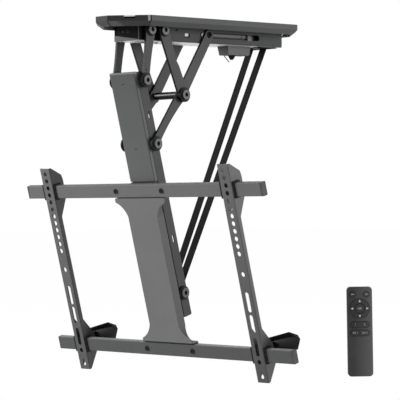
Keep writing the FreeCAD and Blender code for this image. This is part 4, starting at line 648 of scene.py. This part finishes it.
COATS = {
    "ceiling_plate": TRAY_COAT, "channel_housing": CHANNEL_COAT, "front_end_cap": CAP_COAT,
    "rear_end_plate": CHANNEL_COAT, "bottom_cover": COVER_PLATE_COAT, "housing_screws": DARK_STEEL,
    "status_led": LED_RED, "power_socket": SOCKET_RIM, "motor_tube": MOTOR_STEEL,
    "gearbox": MOTOR_STEEL, "drum_side_plates": DARK_STEEL, "limit_switch": NYLON,
    "control_box": BOX_PLASTIC, "receiver_clip": BLACK_PARTS_AND_SHADOWS, "strap_guide": BLACK_PLASTIC,
    "upper_pivot_bolts": BOLT_STEEL, "upper_pivot_bushes": BLACK_PLASTIC,
    "strap_drum": ROD_STEEL, "front_arm_left": ARM_COAT, "front_arm_right": ARM_COAT,
    "front_arm_bushes": BLACK_PLASTIC, "front_arm_bolts": BOLT_STEEL,
    "rear_arm_left": ARM_COAT, "rear_arm_right": ARM_COAT, "cross_rod": ROD_PAINTED_BANDS,
    "rear_arm_bushes": BLACK_PLASTIC, "rear_arm_bolts": BOLT_STEEL,
    "scissor_arm_left": ARM_COAT, "scissor_arm_right": ARM_COAT, "slide_pins": PIN_BLACK,
    "slider_blocks": NYLON, "mast_channel": MAST_COAT, "mast_front_cover": COVER_COAT,
    "cover_screws": DARK_STEEL, "tv_panel": PANEL_COAT, "crossbar_upper": BAR_COAT,
    "crossbar_lower": SHADED_LOW_BAR_COAT, "crossbar_end_caps": GREY_PLASTIC, "crossbar_bolts": DARK_STEEL,
    "strap_roller": ROD_STEEL, "strap_clamp": DARK_STEEL, "mast_pivot_bushes": BLACK_PLASTIC,
    "mast_pivot_bolts": BOLT_STEEL, "bracket_left": SHADED_LEFT_BRACKET_COAT, "bracket_right": BRACKET_COAT,
    "bracket_inserts_left": INSERT_PLASTIC, "bracket_inserts_right": INSERT_PLASTIC,
    "lock_lever_left": BLACK_PLASTIC, "lock_lever_right": BLACK_PLASTIC,
    "handset_case": HANDSET_SHELL, "handset_back": HANDSET_SHELL,
    "key_top_left": HANDSET_KEY, "key_top_right": HANDSET_KEY, "key_ring": HANDSET_KEY,
    "key_ok": HANDSET_KEY, "key_rocker_1": HANDSET_KEY, "key_rocker_2": HANDSET_KEY,
    "strap_left": WEBBING, "strap_right": WEBBING,
}

for name, node in nodes.items():
    for slot in node.material_slots:
        slot.material = COATS[name]


# Shapes
def new_mesh_object(name, build):
    mesh = bpy.data.meshes.new(name)
    shape = bmesh.new()
    build(shape)
    shape.to_mesh(mesh)
    shape.free()
    thing = bpy.data.objects.new(name, mesh)
    scene.collection.objects.link(thing)
    return thing


def prism_object(name, first, second):
    # A closed solid between two outlines with as many points each
    def build(shape):
        near = [shape.verts.new(point) for point in first]
        far = [shape.verts.new(point) for point in second]
        shape.faces.new(near)
        shape.faces.new(list(reversed(far)))
        for k in range(len(near)):
            n = (k + 1) % len(near)
            shape.faces.new((near[k], far[k], far[n], near[n]))
        bmesh.ops.recalc_face_normals(shape, faces=shape.faces)
    return new_mesh_object(name, build)


# Lifting straps: woven bands with a rounded edge on both sides
along = (STRAP_HIGH - STRAP_LOW).normalized()
outward = Vector((0.0, along.z, -along.y))


def strap_outline():
    profile = []
    for k in range(STRAP_COLUMNS + 1):
        t = -1 + 2 * k / STRAP_COLUMNS
        crown = STRAP_THICK / 2 * (1 - STRAP_EDGE_THINNER * abs(t) ** STRAP_EDGE_POWER)
        profile.append((t * STRAP_WIDTH / 2, crown))
    return profile + [(x, -h) for x, h in reversed(profile)]


def strap_band(side):
    def build(shape):
        uv = shape.loops.layers.uv.new("weave")
        rows = int((STRAP_HIGH - STRAP_LOW).length / RIB_STEP)
        ring = strap_outline()
        count = len(ring)
        grid = []
        for r in range(rows + 1):
            share = r / rows
            middle = side * (STRAP_LOW_X + (STRAP_TOP_X - STRAP_LOW_X) * share)
            centre = STRAP_LOW.lerp(STRAP_HIGH, share)
            grid.append([shape.verts.new(centre + Vector((middle + x, 0, 0)) + outward * h)
                         for x, h in ring])
        for r in range(rows):
            for k in range(count):
                n = (k + 1) % count
                face = shape.faces.new((grid[r][k], grid[r][n], grid[r + 1][n], grid[r + 1][k]))
                corners = ((k, r), (k + 1, r), (k + 1, r + 1), (k, r + 1))
                for loop, (u, v) in zip(face.loops, corners):
                    loop[uv].uv = (u, v * RIB_STEP / STRAP_WIDTH * STRAP_COLUMNS)
        shape.faces.new(list(reversed(grid[0])))
        shape.faces.new(grid[-1])
        bmesh.ops.recalc_face_normals(shape, faces=shape.faces)
    return build


for side, label in ((-1, "left"), (1, "right")):
    band = new_mesh_object("strap_band_" + label, strap_band(side))
    for polygon in band.data.polygons:
        polygon.use_smooth = True
    band.data.materials.append(WEBBING)
    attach(band, "straps")
    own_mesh(band)
    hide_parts("strap_" + label)


# Painted shadow: dark hexagons at the bottom of the bolts' sockets
def hexagon(x, y, z):
    turns = [math.pi * k / 3 for k in range(6)]
    return [(x, y + SOCKET_RADIUS * math.cos(t), z + SOCKET_RADIUS * math.sin(t)) for t in turns]


for label, y, z, x, body in SOCKET_SHADOWS:
    for side, hand in ((-1, "left"), (1, "right")):
        piece = prism_object("socket_%s_%s" % (label, hand),
                             hexagon(side * x - SOCKET_FILL, y, z), hexagon(side * x + SOCKET_FILL, y, z))
        piece.data.materials.append(BLACK_PARTS_AND_SHADOWS)
        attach(piece, body)


# Retaining rings round the guide pins, painted shadows of the slots' front ends with the nylon lips, and the
# switches
def retaining_ring(name, side):
    def build(shape):
        corners = ((RING_INNER, PIN_FACE), (RING_OUTER, PIN_FACE),
                   (RING_OUTER, PIN_FACE + RING_THICK), (RING_INNER, PIN_FACE + RING_THICK))
        rows = []
        for k in range(RING_STEPS + 1):
            turn = RING_START + RING_SWEEP * k / RING_STEPS
            across, up = math.cos(turn), math.sin(turn)
            rows.append([shape.verts.new((side * x, PIN_Y + radius * across, PIN_Z + radius * up))
                         for radius, x in corners])
        for k in range(RING_STEPS):
            for j in range(len(corners)):
                n = (j + 1) % len(corners)
                shape.faces.new((rows[k][j], rows[k][n], rows[k + 1][n], rows[k + 1][j]))
        shape.faces.new(rows[0])
        shape.faces.new(list(reversed(rows[-1])))
        bmesh.ops.recalc_face_normals(shape, faces=shape.faces)
    return new_mesh_object(name, build)


def round_ended_plate(name, side, front, rear, half, x0, x1):
    # Flat plate on the housing's side, round at the front and square at the rear
    outline = []
    for k in range(ROUND_END_STEPS + 1):
        turn = math.pi / 2 + math.pi * k / ROUND_END_STEPS
        outline.append((front + half + half * math.cos(turn), PIN_Z + half * math.sin(turn)))
    outline += [(rear, PIN_Z - half), (rear, PIN_Z + half)]
    first, second = [[(side * (HOUSING_FACE + x), y, z) for y, z in outline] for x in (x0, x1)]
    return prism_object(name, first, second)


def rounded_block(low, high):
    def build(shape):
        bmesh.ops.create_cube(shape, size=1.0)
        for vert in shape.verts:
            for k in range(3):
                vert.co[k] = (low[k] + high[k]) / 2 + vert.co[k] * (high[k] - low[k])
        bmesh.ops.bevel(shape, geom=list(shape.edges), offset=SWITCH_ROUND, segments=3, profile=0.5,
                        affect="EDGES")
    return build


for side, hand in ((-1, "left"), (1, "right")):
    ring = retaining_ring("pin_ring_" + hand, side)
    ring.data.materials.append(BLACK_PARTS_AND_SHADOWS)
    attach(ring, "scissor_arms")
    # Painted shadow: a thin dark plate where the slot's front end shows
    shadow = round_ended_plate("slot_end_shadow_" + hand, side, SLOT_END_FRONT, SLOT_END_REAR, SLOT_END_HALF,
                               0.0, SLOT_END_THICK)
    shadow.data.materials.append(BLACK_PARTS_AND_SHADOWS)
    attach(shadow, "base")
    lip = round_ended_plate("glide_lip_" + hand, side, GLIDE_FRONT, GLIDE_REAR, GLIDE_HALF,
                            GLIDE_LOW, GLIDE_HIGH)
    lip.data.materials.append(NYLON)
    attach(lip, "sliders")
    x0, x1 = sorted(side * x for x in SWITCH_X)
    switch = new_mesh_object("switch_body_" + hand, rounded_block((x0, *SWITCH_LOW), (x1, *SWITCH_HIGH)))
    switch.data.materials.append(NYLON)
    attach(switch, "base")

# Handset legends
handset = Matrix.Translation(HANDSET_PLACE) @ Matrix.Rotation(HANDSET_TURN, 4, "Z")


def print_piece(name, outline, body):
    front = [handset @ Vector((x, KEY_FACE - PRINT_THICK, z)) for x, z in outline]
    back = [handset @ Vector((x, KEY_FACE + PRINT_THICK, z)) for x, z in outline]
    piece = prism_object(name, front, back)
    piece.data.materials.append(PRINT_WHITE)
    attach(piece, body)


def text_piece(name, words, size, x, z, body):
    curve = bpy.data.curves.new(name, "FONT")
    curve.body = words
    curve.size = size
    curve.align_x = "CENTER"
    curve.align_y = "CENTER"
    curve.extrude = PRINT_THICK
    thing = bpy.data.objects.new(name, curve)
    scene.collection.objects.link(thing)
    thing.matrix_world = handset @ Matrix.Translation((x, KEY_FACE, z)) @ Matrix.Rotation(math.pi / 2, 4, "X")
    thing.data.materials.append(PRINT_WHITE)
    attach(thing, body)


for k, label in enumerate(("right", "up", "left", "down")):
    turn = k * math.pi / 2
    middle = (ARROW_AT * math.cos(turn), RING_Z + ARROW_AT * math.sin(turn))
    corners = ((0.0, ARROW * ARROW_POINT), (ARROW_SPREAD, ARROW), (-ARROW_SPREAD, ARROW))
    arrow = [(middle[0] + r * math.cos(turn + a), middle[1] + r * math.sin(turn + a)) for a, r in corners]
    print_piece("arrow_" + label, arrow, "button_ring")
for legend in LEGENDS:
    text_piece(*legend)


# White surround and floor, seen as white but lighting the part softly
def sees_white(tree):
    # 1 for rays from the camera, and for those reflected by or passed through a surface
    path = tree.nodes.new("ShaderNodeLightPath")
    seen = path.outputs["Is Camera Ray"]
    for kind in ("Is Glossy Ray", "Is Transmission Ray"):
        seen = reckon(tree, "MAXIMUM", seen, path.outputs[kind])
    return seen


def mixed(tree, share, first, second, out):
    mix = tree.nodes.new("ShaderNodeMixShader")
    tree.links.new(share, mix.inputs["Fac"])
    tree.links.new(first, mix.inputs[1])
    tree.links.new(second, mix.inputs[2])
    tree.links.new(mix.outputs["Shader"], out.inputs["Surface"])


def white_light(tree, kind, strength):
    node = tree.nodes.new(kind)
    node.inputs["Color"].default_value = (1.0, 1.0, 1.0, 1.0)
    node.inputs["Strength"].default_value = strength
    return node.outputs[0]


def white_paint():
    material, tree, shader = new_material("floor_white")
    shader.inputs["Base Color"].default_value = (*grey(FLOOR_GREY), 1.0)
    shader.inputs["Roughness"].default_value = 0.9
    out = [node for node in tree.nodes if node.type == "OUTPUT_MATERIAL"][0]
    share = reckon(tree, "MULTIPLY", sees_white(tree), FLOOR_WHITE)
    mixed(tree, share, shader.outputs["BSDF"], white_light(tree, "ShaderNodeEmission", 1.0), out)
    return material


def white_world():
    world = bpy.data.worlds.new("world")
    scene.world = world
    world.use_nodes = True
    tree = world.node_tree
    tree.nodes.clear()
    out = tree.nodes.new("ShaderNodeOutputWorld")
    ambient = white_light(tree, "ShaderNodeBackground", AMBIENT)
    mixed(tree, sees_white(tree), ambient, white_light(tree, "ShaderNodeBackground", 1.0), out)


def area_lamp(name, place, aim, size, watts):
    data = bpy.data.lights.new(name, "AREA")
    data.shape = "SQUARE"
    data.size = size
    data.energy = watts
    lamp = bpy.data.objects.new(name, data)
    scene.collection.objects.link(lamp)
    lamp.location = place
    direction = Vector(aim) - Vector(place)
    lamp.rotation_euler = direction.to_track_quat("-Z", "Y").to_euler()


floor_mesh = bpy.data.meshes.new("floor")
floor_corners = [(x * FLOOR_REACH, y * FLOOR_REACH, 0) for x, y in ((-1, -1), (1, -1), (1, 1), (-1, 1))]
floor_mesh.from_pydata(floor_corners, [], [(0, 1, 2, 3)])
floor_mesh.materials.append(white_paint())
floor = bpy.data.objects.new("floor", floor_mesh)
scene.collection.objects.link(floor)
floor.location = (0.0, 0.0, FLOOR_Z)
white_world()
for lamp in LAMPS:
    area_lamp(*lamp)
